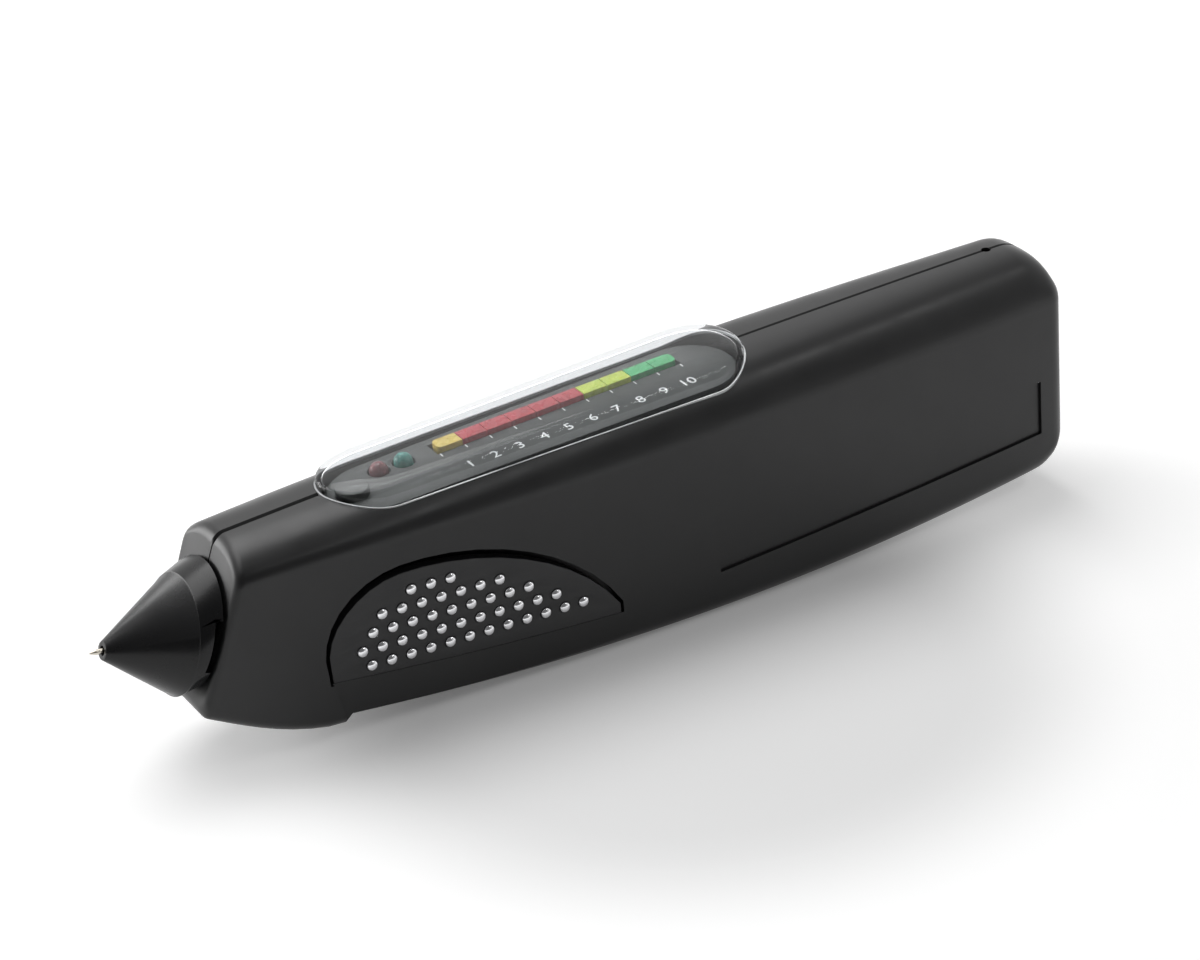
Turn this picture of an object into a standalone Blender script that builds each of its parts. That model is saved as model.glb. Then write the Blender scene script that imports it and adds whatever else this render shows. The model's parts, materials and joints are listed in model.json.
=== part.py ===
"""Hand-held gem tester: a thermal probe in a sprung nose, a lit scale under a clear cover,
two hollow casing halves, contact grips with rows of metal studs, and three small cells.

Every length below is in metres. In the casing's own frame X runs from the nose to the rear,
Z is up and Y is across, with the shown side at -Y. The whole tester is pitched on its belly
by the frame empty, so that it stands as it rests on a table.
"""
import math

import bmesh
import bpy
from mathutils import Matrix, Vector

MM = 0.001

# Gaps between pieces
wall = 2.0 * MM
seam_gap = 0.3 * MM
seat_gap = 0.3 * MM
cut_over = 2.0 * MM
weld_distance = 0.001 * MM
flat_angle = math.radians(0.5)
smooth_angle = math.radians(35)

# Heights at the top
top_front = 15.1 * MM
top_fall = 0.7 * MM
top_rear = top_front - top_fall
top_crown = 1.0 * MM
shoulder_drop_front = 3.2 * MM
shoulder_drop_middle = 6.3 * MM
shoulder_drop_rear = 7.5 * MM
shoulder_front = top_front - shoulder_drop_front
shoulder_middle = top_front - shoulder_drop_middle
shoulder_rear = top_front - shoulder_drop_rear
panel_drop = 1.7 * MM
panel_top = top_front - panel_drop
panel_thickness = 1.0 * MM
ledge_thickness = 1.2 * MM
panel_bottom = panel_top - panel_thickness
ledge_top = panel_bottom - seat_gap
ledge_bottom = ledge_top - ledge_thickness

# Cells and their tray
cell_radius = 5.25 * MM
cell_length = 43.3 * MM
cell_nub_radius = 1.9 * MM
cell_nub_length = 1.2 * MM
cell_total = cell_length + cell_nub_length
cell_front = 25.0 * MM
cell_gap = 0.4 * MM
cell_count = 3
cell_head_room = 1.45 * MM
cell_top_z = ledge_bottom - cell_head_room - cell_radius
cell_pitch = cell_radius * 2 + cell_gap
cell_heights = [cell_top_z - cell_pitch * number for number in range(cell_count)]
tray_wall = 1.2 * MM
tray_edge = 2.8 * MM
tray_high = cell_heights[0] + tray_wall
tray_low = cell_heights[-1] - tray_edge
tray_lip_drop = 0.75 * MM
tray_front_lip = cell_radius - tray_lip_drop
cradle_depth = 2.5 * MM
contact_leaf = 0.5 * MM
leaf_width = 4.4 * MM
rib_thickness = 1.6 * MM
rib_shares = [0.15, 0.5, 0.85]
rib_height = 18.0 * MM

# Casing outline
casing_front = -69.7 * MM
rear_room = 16.2 * MM
casing_rear = cell_front + cell_total + rear_room
belly_room = 0.9 * MM
belly_low = cell_heights[-1] - cell_radius - belly_room - wall
belly_low_x = 52.0 * MM
belly_front = -13.6 * MM
chin_end = -51.4 * MM
chin_depth = 1.35 * MM
chin_rise = 6.9 * MM
chin_step_run = 1.3 * MM
chin_curve_share = 1.5
side_room = 3.25 * MM
widest_half = cell_radius + seat_gap + tray_wall + side_room + wall
widest_x = 10.0 * MM
front_taper = 2.3 * MM
rear_taper = 2.5 * MM
shoulder_middle_x = 20.0 * MM
arch_front_share = 3.0
arch_middle_share = 4.0
arch_rear_share = 3.2
arch_reach_share = 0.9
least_arch = 0.7 * MM
side_draft = 0.4 * MM
shoulder_radius = 1.4 * MM
belly_edge_front = 2.0 * MM
belly_edge_rear = 4.0 * MM
front_lean = math.radians(23.4)
lean_length = 28.0 * MM
front_edge_radius = 1.4 * MM
rear_top_radius = 6.0 * MM
rear_bottom_radius = 6.0 * MM
rear_side_radius = 2.5 * MM
rest_pitch = math.radians(-3.2)
rest_flat_depth = 0.1 * MM
corner_shares = [0.34, 0.67, 1.0]
edge_shares = [0.0, 0.12, 0.45, 1.0]
rear_shares = [1.0, 0.68, 0.42, 0.22, 0.08, 0.02, 0.0]
cavity_shares = [0.0, 0.06, 0.13, 0.22, 0.35, 0.5, 0.65, 0.8, 0.92, 0.97, 1.0]
body_stations = 13
chin_stations = 3
arch_steps = 5
corner_steps = 4
cavity_arch_steps = 4
cavity_corner_steps = 2
solving_rounds = 30

# Nose
nose_margin = 0.64 * MM
nose_base_radius = widest_half - front_taper - nose_margin
nose_base_reach = 2.63 * MM
nose_base_lift = 1.74 * MM
nose_base_lean = math.radians(19.1)
nose_cone_length = 12.87 * MM
nose_tip_rise = 2.01 * MM
collar_step = 0.8 * MM
collar_radius = nose_base_radius + collar_step
collar_lift = 2.45 * MM
collar_gap = 0.55 * MM
collar_edge = 0.3 * MM
neck_radius = nose_base_radius - collar_step
collar_slot_depth = 0.95 * MM
collar_slot_height = 8.2 * MM
collar_slot_wall = 0.5 * MM
nose_blunt_radius = 1.4 * MM
probe_hole_radius = 0.75 * MM
holder_bore_radius = 1.8 * MM
holder_bore_start = 3.6 * MM
holder_bore_length = 2.6 * MM
nose_sides = 32

# Probe and its spring, along the probe's own axis from the tip
probe_radius = 0.4 * MM
probe_point_length = 1.0 * MM
probe_point_share = 0.25
probe_length = 11.0 * MM
holder_radius = 1.5 * MM
flange_start = 11.6 * MM
flange_radius = 2.6 * MM
flange_length = 1.5 * MM
tail_radius = 1.1 * MM
tail_length = 15.0 * MM
probe_travel = 1.2 * MM
spring_turns = 6
spring_wire_radius = 0.28 * MM
spring_radius = 2.2 * MM
spring_points_per_turn = 10
guide_start = 10.0 * MM
guide_length = 16.5 * MM
guide_bore_radius = 3.0 * MM
guide_wall = 1.1 * MM
guide_end_length = 1.4 * MM
guide_flange_radius = 6.2 * MM
guide_flange_length = 1.3 * MM

# Window, panel and lights
window_front = -45.7 * MM
window_rear = 27.7 * MM
window_margin = 2.8 * MM
window_half = widest_half - window_margin
window_front_share = 0.88
window_rear_share = 1.03
cover_proud = 2.5 * MM
cover_crown = top_front + cover_proud
cover_rim_drop = 0.1 * MM
cover_wall = 1.0 * MM
cover_steps = 6
hollow_steps = 5
cover_roundness_share = 4.0
cover_flat_share = 0.03
panel_gap = 0.4 * MM
panel_inset = cover_wall + panel_gap
panel_lap = 1.0 * MM
ledge_inset = panel_inset + panel_lap
ledge_inner_half = window_half - ledge_inset
ledge_spread = 0.1 * MM
ledge_outer_half = window_half + ledge_spread
panel_boss_radius = 2.6 * MM
panel_boss_height = 1.4 * MM
panel_boss_x = -40.6 * MM
board_thickness = 1.6 * MM
board_front = -43.6 * MM
board_rear_margin = 5.0 * MM
board_rear = cell_front - board_rear_margin
board_margin = 1.9 * MM
board_half = window_half - board_margin
bar_start = -24.6 * MM
bar_pitch = 4.32 * MM
bar_gap = 0.3 * MM
bar_near = 2.4 * MM
bar_width = 2.8 * MM
bar_proud = 0.7 * MM
bar_top = panel_top + bar_proud
bar_colours = ["yellow"] + ["red"] * 5 + ["lime"] * 2 + ["green"] * 2
lamp_radius = 1.5 * MM
lamp_proud = 1.5 * MM
lamp_top = panel_top + lamp_proud
lamp_flange_radius = 1.75 * MM
lamp_flange_height = 0.8 * MM
lamp_y = 3.5 * MM
ready_lamp_x = -30.1 * MM
battery_lamp_x = -34.3 * MM
chip_side = 7.0 * MM
chip_height = 1.4 * MM
chip_x = -6.0 * MM
buzzer_radius = 5.5 * MM
buzzer_height = 3.2 * MM
buzzer_x = 10.0 * MM

# Grips
grip_peak_x = -39.5 * MM
grip_top = 5.8 * MM
grip_front_reach = 13.85 * MM
grip_front_drop = 12.3 * MM
grip_front_turn = math.radians(112)
grip_front_steps = 9
grip_rear_reach = 39.0 * MM
grip_rear_drop = 30.8 * MM
grip_rear_round_share = 1.08
grip_rear_steps = 13
grip_bottom_steps = 5
grip_rise = 6.3 * MM
grip_front = grip_peak_x - grip_front_reach
grip_rear = grip_peak_x + grip_rear_reach
grip_thickness = 1.6 * MM
grip_front_sink = 0.9 * MM
grip_rear_sink = 0.1 * MM
grip_groove = 1.6 * MM
groove_rear_share = 0.55
groove_front_share = 0.3
groove_end_share = 0.25
facet_run = 6.0 * MM
facet_lap = 0.25 * MM
stud_pitch = 3.26 * MM
stud_row_pitch = 2.75 * MM
stud_radius = 0.8 * MM
stud_proud = 0.55 * MM
stud_setback = 7.45 * MM
stud_first_x = grip_front + stud_setback
stud_first_z = -9.8 * MM
stud_slope = math.radians(-4.2)
stud_sides = 8
stud_crown_share = 0.6
stud_top_share = 0.55
stud_row_end_shares = [0.78, 0.68, 0.55, 0.42, 0.21]
stud_offset_shares = [0.0, -0.36, 0.27, 0.84, 2.41]
contact_thickness = 0.6 * MM
contact_inset = 1.2 * MM
grip_floor = 1.2 * MM
grip_floor_margin = 1.2 * MM

# Battery door
door_front_margin = 3.0 * MM
door_rear_margin = 5.0 * MM
door_bottom_rise = 6.55 * MM
door_front = cell_front - door_front_margin
door_rear = cell_front + cell_total + door_rear_margin
door_bottom = belly_low + door_bottom_rise
door_top = shoulder_rear - shoulder_radius
door_thumb_radius = 4.0 * MM
door_thumb_depth = 0.8 * MM
door_thumb_setback = 6.4 * MM
door_tab_reach = 1.5 * MM
door_tab_root = 2.5 * MM
door_tab_thickness = 1.2 * MM
door_tab_height = 5.0 * MM
door_tab_spacing = 15.0 * MM

# Power switch and socket
switch_x = 8.0 * MM
switch_z = -1.0 * MM
switch_length = 9.0 * MM
switch_height = 4.6 * MM
switch_depth = 3.4 * MM
slider_length = 4.4 * MM
slider_height = 3.4 * MM
slider_travel = 2.6 * MM
slider_inset = 0.5 * MM
slot_dish_depth = 0.9 * MM
slot_dish_margin = 2.2 * MM
socket_z = -7.5 * MM
socket_radius = 3.2 * MM
socket_bore_radius = 1.8 * MM
socket_bore_depth = 6.0 * MM
socket_length = 8.0 * MM
socket_flange_radius = 4.4 * MM
socket_flange_length = 1.2 * MM

# Label recess on the shown side
label_front = 14.7 * MM
label_rear_margin = 5.5 * MM
label_rear = casing_rear - label_rear_margin
label_bottom_rise = 8.85 * MM
label_bottom = belly_low + label_bottom_rise
label_top = -7.1 * MM
label_recess = 0.45 * MM

# Fasteners
screw_front_setback = 11.7 * MM
screw_front_rise = 5.0 * MM
screw_middle_setback = 12.5 * MM
screw_middle_rise = 7.0 * MM
screw_rear_setback = 7.2 * MM
screw_rear_rise = 8.5 * MM
screw_rear_drop = 4.0 * MM
screw_places = [
    (casing_front + screw_front_setback, belly_front + screw_front_rise),
    (cell_front - screw_middle_setback, belly_low + screw_middle_rise),
    (casing_rear - screw_rear_setback, shoulder_rear - screw_rear_drop),
    (casing_rear - screw_rear_setback, belly_low + screw_rear_rise),
]
screw_radius = 1.0 * MM
screw_head_radius = 2.0 * MM
screw_head_height = 1.4 * MM
screw_length = 12.0 * MM
screw_sink = 3.2 * MM
boss_radius = 2.9 * MM
strap_hole_radius = 0.8 * MM
strap_hole_setback = 8.5 * MM
strap_hole_depth = 3.0 * MM


def new_collection(name):
    group = bpy.data.collections.new(name)
    bpy.context.scene.collection.children.link(group)
    return group


def clear_scene():
    for thing in list(bpy.data.objects):
        bpy.data.objects.remove(thing, do_unlink=True)
    for group in list(bpy.data.collections):
        bpy.data.collections.remove(group)


def make_material(name, colour, roughness, metallic=0.0, clear=0.0):
    material = bpy.data.materials.new(name)
    material.use_nodes = True
    shader = material.node_tree.nodes["Principled BSDF"]
    shader.inputs["Base Color"].default_value = (*colour, 1.0)
    shader.inputs["Roughness"].default_value = roughness
    shader.inputs["Metallic"].default_value = metallic
    shader.inputs["Transmission Weight"].default_value = clear
    material.diffuse_color = (*colour, 1.0)
    return material


clear_scene()
parts = new_collection("gem_tester")
cutters = new_collection("cutters")
frame = bpy.data.objects.new("tester_frame", None)
frame.rotation_euler = (0.0, rest_pitch, 0.0)
parts.objects.link(frame)

black = make_material("casing_black", (0.035, 0.036, 0.038), 0.42)
gloss_black = make_material("nose_black", (0.02, 0.02, 0.022), 0.3)
grip_black = make_material("grip_black", (0.03, 0.03, 0.032), 0.5)
chrome = make_material("chrome", (0.8, 0.8, 0.82), 0.15, metallic=1.0)
steel = make_material("steel", (0.55, 0.55, 0.56), 0.3, metallic=1.0)
probe_metal = make_material("probe_metal", (0.62, 0.58, 0.5), 0.25, metallic=1.0)
clear = make_material("clear_cover", (0.95, 0.96, 0.96), 0.05, clear=1.0)
panel_grey = make_material("panel_grey", (0.11, 0.12, 0.115), 0.5)
board_green = make_material("board_green", (0.03, 0.2, 0.08), 0.45)
cell_grey = make_material("cell_grey", (0.35, 0.37, 0.4), 0.35)
cream = make_material("insulator_cream", (0.75, 0.7, 0.6), 0.5)
lamp_materials = {
    "yellow": make_material("lamp_yellow", (0.75, 0.6, 0.12), 0.3),
    "red": make_material("lamp_red", (0.55, 0.05, 0.07), 0.3),
    "lime": make_material("lamp_lime", (0.6, 0.7, 0.1), 0.3),
    "green": make_material("lamp_green", (0.1, 0.55, 0.2), 0.3),
}


def place(name, mesh, material=None):
    """A mesh becomes a part if it has a material, and a cutter if it has none."""
    thing = bpy.data.objects.new(name, mesh)
    thing.parent = frame
    if material is None:
        cutters.objects.link(thing)
        thing.hide_render = True
        thing.display_type = "WIRE"
    else:
        parts.objects.link(thing)
        mesh.materials.append(material)
    return thing


def mesh_from(name, shape):
    bmesh.ops.recalc_face_normals(shape, faces=shape.faces)
    mesh = bpy.data.meshes.new(name)
    shape.to_mesh(mesh)
    shape.free()
    return mesh


def smooth(mesh):
    mesh.shade_smooth()
    mesh.set_sharp_from_angle(angle=smooth_angle)


def box_mesh(name, low, high):
    shape = bmesh.new()
    low, high = Vector(low), Vector(high)
    size = high - low
    fit = Matrix.Translation((low + high) / 2) @ Matrix.Diagonal((*size, 1.0))
    bmesh.ops.create_cube(shape, size=1.0, matrix=fit)
    return mesh_from(name, shape)


def box(name, low, high, material=None):
    return place(name, box_mesh(name, low, high), material)


def add_rod(shape, start, end, radius, sides, end_radius=None):
    """A straight round or tapered rod between two points, added to a bmesh."""
    start, end = Vector(start), Vector(end)
    turn = (end - start).to_track_quat("Z", "Y").to_matrix().to_4x4()
    bmesh.ops.create_cone(
        shape, cap_ends=True, segments=sides, radius1=radius,
        radius2=radius if end_radius is None else end_radius,
        depth=(end - start).length, matrix=Matrix.Translation((start + end) / 2) @ turn)


def rod(name, start, end, radius, sides, material=None):
    shape = bmesh.new()
    add_rod(shape, start, end, radius, sides)
    mesh = mesh_from(name, shape)
    smooth(mesh)
    return place(name, mesh, material)


def loft(name, rings, material=None):
    """A skin through rings of equal point counts, closed at both ends."""
    shape = bmesh.new()
    rows = [[shape.verts.new(point) for point in ring] for ring in rings]
    for row, following in zip(rows, rows[1:]):
        for index in range(len(row)):
            after = (index + 1) % len(row)
            shape.faces.new((row[index], row[after], following[after], following[index]))
    shape.faces.new(rows[0])
    shape.faces.new(reversed(rows[-1]))
    mesh = mesh_from(name, shape)
    smooth(mesh)
    return place(name, mesh, material)


def move_origin(thing, point):
    """Moves a piece's origin to a point without moving the piece."""
    thing.data.transform(Matrix.Translation(-Vector(point)))
    thing.location = point


def flat_piece(name, outline, low, high, axis, material=None):
    """A flat outline given thickness from low to high along Z or along Y."""
    curve = bpy.data.curves.new(name, "CURVE")
    curve.dimensions = "2D"
    curve.fill_mode = "BOTH"
    curve.extrude = (high - low) / 2
    spline = curve.splines.new("POLY")
    spline.points.add(len(outline) - 1)
    for point, (across, along) in zip(spline.points, outline):
        point.co = (across, along, 0.0, 1.0)
    spline.use_cyclic_u = True
    holder = bpy.data.objects.new(name + "_outline", curve)
    parts.objects.link(holder)
    bpy.context.view_layer.update()
    seen = holder.evaluated_get(bpy.context.evaluated_depsgraph_get())
    mesh = bpy.data.meshes.new_from_object(seen)
    bpy.data.objects.remove(holder, do_unlink=True)
    shape = bmesh.new()
    shape.from_mesh(mesh)
    bmesh.ops.remove_doubles(shape, verts=shape.verts, dist=weld_distance)
    bmesh.ops.dissolve_limit(shape, angle_limit=flat_angle, verts=shape.verts, edges=shape.edges)
    bmesh.ops.translate(shape, verts=shape.verts, vec=(0.0, 0.0, (low + high) / 2))
    if axis == "Y":
        stand = Matrix(((1, 0, 0), (0, 0, 1), (0, 1, 0))).to_4x4()
        bmesh.ops.transform(shape, matrix=stand, verts=shape.verts)
    return place(name, mesh_from(name, shape), material)


def turned(name, profile, sides, origin, direction, material=None):
    """A shape turned about its own Z axis, which is then laid along direction from origin.

    The profile is a list of (radius, height), from the top down the outer side. One that
    stays off the axis is closed into a ring.
    """
    mesh = bpy.data.meshes.new(name)
    points = [(radius, 0.0, height) for radius, height in profile]
    edges = [(index, index + 1) for index in range(len(points) - 1)]
    if profile[0][0] > 0:
        edges.append((len(points) - 1, 0))
    mesh.from_pydata(points, edges, [])
    thing = place(name, mesh, material)
    thing.location = origin
    thing.rotation_mode = "QUATERNION"
    thing.rotation_quaternion = Vector(direction).to_track_quat("Z", "Y")
    screw = thing.modifiers.new("turn", "SCREW")
    screw.axis = "Z"
    screw.steps = sides
    screw.render_steps = sides
    screw.use_merge_vertices = True
    screw.merge_threshold = weld_distance
    screw.use_smooth_shade = False
    return thing


def shape_with(target, tool, operation):
    step = target.modifiers.new(operation.lower(), "BOOLEAN")
    step.operation = operation
    step.solver = "EXACT"
    step.object = tool


def cut(target, tool):
    shape_with(target, tool, "DIFFERENCE")


def join(target, tool):
    shape_with(target, tool, "UNION")


def mix(start, end, share):
    return start + (end - start) * share


def ease(share):
    share = min(max(share, 0.0), 1.0)
    return share * share * (3 - 2 * share)


def round_off(distance, radius):
    """How far an edge of this radius has drawn in, at this distance from the end."""
    if distance >= radius:
        return 0.0
    return radius - math.sqrt(max(radius ** 2 - (radius - max(distance, 0.0)) ** 2, 0.0))


# Lines of the casing
def top_line(x):
    share = (x - casing_front) / (casing_rear - casing_front)
    return mix(top_front, top_rear, share) + 4 * top_crown * share * (1 - share)


def belly_line(x):
    share = (x - belly_low_x) / (casing_front - belly_low_x)
    return belly_low + (belly_front - belly_low) * share ** 2


def bottom_line(x):
    step_end = chin_end + chin_step_run
    if x >= step_end:
        return belly_line(x)
    chin_low = belly_line(chin_end) - chin_depth
    if x > chin_end:
        return mix(chin_low, belly_line(step_end), (x - chin_end) / chin_step_run)
    share = (chin_end - x) / (chin_end - casing_front)
    return chin_low + chin_rise * share ** chin_curve_share


def half_width(x):
    if x < widest_x:
        return widest_half - front_taper * ((x - widest_x) / (casing_front - widest_x)) ** 2
    return widest_half - rear_taper * ((x - widest_x) / (casing_rear - widest_x)) ** 2


def three_way(x, front, middle, rear):
    if x < shoulder_middle_x:
        return mix(front, middle, ease((x - casing_front) / (shoulder_middle_x - casing_front)))
    return mix(middle, rear, ease((x - shoulder_middle_x) / (casing_rear - shoulder_middle_x)))


def skin_height(x, across):
    """Height of the casing's arched top, away from its rounded ends."""
    top = top_line(x)
    shoulder = three_way(x, shoulder_front, shoulder_middle, shoulder_rear)
    power = three_way(x, arch_front_share, arch_middle_share, arch_rear_share)
    return top - (top - shoulder) * (abs(across) / half_width(x)) ** power


def lean_at(station):
    return math.tan(front_lean) * (1 - ease((station - casing_front) / lean_length))


def half_section(station, inset, arch_count, corner_count, seam):
    """Points from the seam on top, round one side, to the seam on the belly."""
    front_gap = station - casing_front - inset
    rear_gap = casing_rear - inset - station
    front_round = round_off(front_gap, front_edge_radius)
    lean = lean_at(station)
    top_x = station + lean * top_line(station)
    bottom_x = station + lean * bottom_line(station)
    top = top_line(top_x) - inset - front_round - round_off(rear_gap, rear_top_radius)
    bottom = bottom_line(bottom_x) + inset + front_round + round_off(rear_gap, rear_bottom_radius)
    width = half_width(station) - inset - front_round - round_off(rear_gap, rear_side_radius)
    shoulder = three_way(station, shoulder_front, shoulder_middle, shoulder_rear) - inset
    shoulder = min(shoulder, top - least_arch)
    power = three_way(station, arch_front_share, arch_middle_share, arch_rear_share)
    points = []
    for step in range(arch_count + 1):
        across = width * arch_reach_share * step / arch_count
        points.append((max(across, seam), top - (top - shoulder) * (across / width) ** power))
    start, corner, finish = points[-1], (width, shoulder), (width, shoulder - shoulder_radius)
    for share in corner_shares:
        first = [mix(a, b, share) for a, b in zip(start, corner)]
        second = [mix(a, b, share) for a, b in zip(corner, finish)]
        points.append(tuple(mix(a, b, share) for a, b in zip(first, second)))
    share = ease((station - casing_front) / (casing_rear - casing_front))
    radius = mix(belly_edge_front, belly_edge_rear, share) - inset / 2
    low_width = width - side_draft
    for step in range(corner_count + 1):
        angle = math.pi / 2 * step / corner_count
        points.append((low_width - radius * (1 - math.cos(angle)),
                       bottom + radius * (1 - math.sin(angle))))
    points.append((seam, bottom))
    return [(station + lean * height, across, height) for across, height in points]


def station_over(bottom_x):
    """The station whose leaning section meets the belly at this X."""
    station = bottom_x
    for _ in range(solving_rounds):
        station = bottom_x - lean_at(station) * bottom_line(bottom_x)
    return station


def outer_stations():
    stations = [casing_front + front_edge_radius * share for share in edge_shares]
    step_start, step_end = station_over(chin_end), station_over(chin_end + chin_step_run)
    first = stations[-1]
    for step in range(1, chin_stations + 1):
        stations.append(mix(first, step_start, step / (chin_stations + 1)))
    stations += [step_start, step_end]
    rear_start = casing_rear - rear_top_radius
    for step in range(1, body_stations + 1):
        stations.append(mix(step_end, rear_start, step / (body_stations + 1)))
    return stations + [casing_rear - rear_top_radius * share for share in rear_shares]


def mirrored(points, side):
    return [(x, side * y, z) for x, y, z in points]


def casing_half(name, side):
    rings = [mirrored(half_section(station, 0.0, arch_steps, corner_steps, seam_gap / 2), side)
             for station in outer_stations()]
    return loft(name, rings, black)


def cavity_section(station, inset):
    half = half_section(station, inset, cavity_arch_steps, cavity_corner_steps, 0.0)
    return half + mirrored(half[-2:0:-1], -1)


def cavity_loft(name, inset, material=None):
    """The room inside the casing at this depth below its skin."""
    front = casing_front + inset + front_edge_radius
    rear = casing_rear - inset
    rings = [cavity_section(mix(front, rear, share), inset) for share in cavity_shares]
    return loft(name, rings, material)


casing_left = casing_half("casing_left", -1)
casing_right = casing_half("casing_right", 1)
cavity = cavity_loft("casing_cavity", wall)
for half in (casing_left, casing_right):
    cut(half, cavity)


# Nose axis and its planes
def plane_out(lean):
    return Vector((-math.cos(lean), 0.0, math.sin(lean)))


def plane_up(lean):
    return Vector((math.sin(lean), 0.0, math.cos(lean)))


face_out = plane_out(front_lean)
face_at_collar = Vector((casing_front + math.tan(front_lean) * collar_lift, 0.0, collar_lift))
neck_back = face_at_collar + face_out * seat_gap
collar_back = face_at_collar + face_out * collar_gap
nose_base = Vector((casing_front - nose_base_reach, 0.0, nose_base_lift))
nose_apex = nose_base + Vector((-nose_cone_length, 0.0, nose_tip_rise))
nose_slant = nose_base - nose_apex
probe_axis = nose_slant.normalized()


def along_probe(distance):
    return nose_apex + probe_axis * distance


def nose_ring(centre, radius, lean):
    ring = []
    for step in range(nose_sides):
        angle = 2 * math.pi * step / nose_sides
        ring.append(centre + Vector((0.0, 1.0, 0.0)) * radius * math.cos(angle)
                    + plane_up(lean) * radius * math.sin(angle))
    return ring


blunt_centre = nose_apex + nose_slant * (nose_blunt_radius / nose_base_radius)
edge_centre = nose_base + (collar_back - nose_base).normalized() * collar_edge
nose_cone = loft("nose_cone", [
    nose_ring(neck_back, neck_radius, front_lean),
    nose_ring(collar_back, neck_radius, front_lean),
    nose_ring(collar_back, collar_radius, front_lean),
    nose_ring(edge_centre, nose_base_radius + collar_edge, nose_base_lean),
    nose_ring(nose_base, nose_base_radius, nose_base_lean),
    nose_ring(blunt_centre, nose_blunt_radius, nose_base_lean),
], gloss_black)
nose_room_radius = guide_flange_radius + seat_gap
nose_room = turned("nose_room", [
    (0.0, nose_slant.length + nose_base_radius),
    (nose_room_radius, nose_slant.length + nose_base_radius),
    (nose_room_radius, nose_slant.length),
    (holder_bore_radius, holder_bore_start + holder_bore_length),
    (holder_bore_radius, holder_bore_start),
    (probe_hole_radius, holder_bore_start),
    (probe_hole_radius, -cut_over),
    (0.0, -cut_over),
], 20, nose_apex, probe_axis)
cut(nose_cone, nose_room)
slot_floor = nose_room_radius + collar_slot_wall
for side in (-1, 1):
    low, high = sorted((side * slot_floor, side * (collar_radius + cut_over)))
    slot = box(f"collar_slot_{side}", (-collar_slot_depth, low, -collar_slot_height / 2),
               (cut_over, high, collar_slot_height / 2))
    slot.rotation_euler = (0.0, front_lean, 0.0)
    slot.location = collar_back
    cut(nose_cone, slot)

# Probe
probe_tip = turned("probe_tip", [
    (0.0, probe_length),
    (probe_radius, probe_length),
    (probe_radius, probe_point_length),
    (probe_radius * probe_point_share, 0.0),
    (0.0, 0.0),
], 10, nose_apex, probe_axis, probe_metal)
holder_start = holder_bore_start + seat_gap
tail_end = flange_start + flange_length + tail_length
probe_holder = turned("probe_holder", [
    (0.0, tail_end),
    (tail_radius, tail_end),
    (tail_radius, flange_start + flange_length),
    (flange_radius, flange_start + flange_length),
    (flange_radius, flange_start),
    (holder_radius, flange_start),
    (holder_radius, holder_start),
    (probe_radius + seat_gap / 2, holder_start),
    (probe_radius + seat_gap / 2, probe_length + seat_gap),
    (0.0, probe_length + seat_gap),
], 16, nose_apex, probe_axis, cream)
guide_end = guide_start + guide_length
guide_outer = guide_bore_radius + guide_wall
guide_tilt = probe_axis.angle(-face_out)
face_distance = (face_at_collar - nose_apex).dot(face_out) / probe_axis.dot(face_out)
guide_flange_end = face_distance - guide_flange_radius * math.tan(guide_tilt) - seat_gap
probe_guide = turned("probe_guide", [
    (tail_radius + seat_gap, guide_end),
    (guide_outer, guide_end),
    (guide_outer, guide_flange_end),
    (guide_flange_radius, guide_flange_end),
    (guide_flange_radius, guide_flange_end - guide_flange_length),
    (guide_outer, guide_flange_end - guide_flange_length),
    (guide_outer, guide_start),
    (guide_bore_radius, guide_start),
    (guide_bore_radius, guide_end - guide_end_length),
    (tail_radius + seat_gap, guide_end - guide_end_length),
], 20, nose_apex, probe_axis, cream)
guide_hole = rod("guide_hole", along_probe(guide_flange_end), along_probe(guide_end + cut_over),
                 guide_outer + seat_gap, 20)
for half in (casing_left, casing_right):
    cut(half, guide_hole)


def helix(start, end, radius, turns, per_turn):
    """Points of a coil about local Z, from start to end."""
    count = turns * per_turn
    points = []
    for step in range(count + 1):
        share = step / count
        angle = 2 * math.pi * turns * share
        points.append((radius * math.cos(angle), radius * math.sin(angle), mix(start, end, share)))
    return points


def wire(name, points, radius, material, resolution=1):
    """A round wire through the points, as a mesh with welded end caps."""
    curve = bpy.data.curves.new(name, "CURVE")
    curve.dimensions = "3D"
    curve.bevel_depth = radius
    curve.bevel_resolution = resolution
    curve.use_fill_caps = True
    spline = curve.splines.new("POLY")
    spline.points.add(len(points) - 1)
    for point, place_of in zip(spline.points, points):
        point.co = (*place_of, 1.0)
    holder = bpy.data.objects.new(name + "_path", curve)
    parts.objects.link(holder)
    bpy.context.view_layer.update()
    seen = holder.evaluated_get(bpy.context.evaluated_depsgraph_get())
    mesh = bpy.data.meshes.new_from_object(seen)
    bpy.data.objects.remove(holder, do_unlink=True)
    shape = bmesh.new()
    shape.from_mesh(mesh)
    bmesh.ops.remove_doubles(shape, verts=shape.verts, dist=weld_distance)
    mesh = mesh_from(name, shape)
    smooth(mesh)
    return place(name, mesh, material)


spring_start = flange_start + flange_length + spring_wire_radius + seat_gap
spring_end = guide_end - guide_end_length - spring_wire_radius - seat_gap
probe_spring = wire("probe_spring",
                    helix(spring_start, spring_end, spring_radius, spring_turns,
                          spring_points_per_turn),
                    spring_wire_radius, steel)
probe_spring.location = nose_apex
probe_spring.rotation_mode = "QUATERNION"
probe_spring.rotation_quaternion = probe_axis.to_track_quat("Z", "Y")


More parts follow.
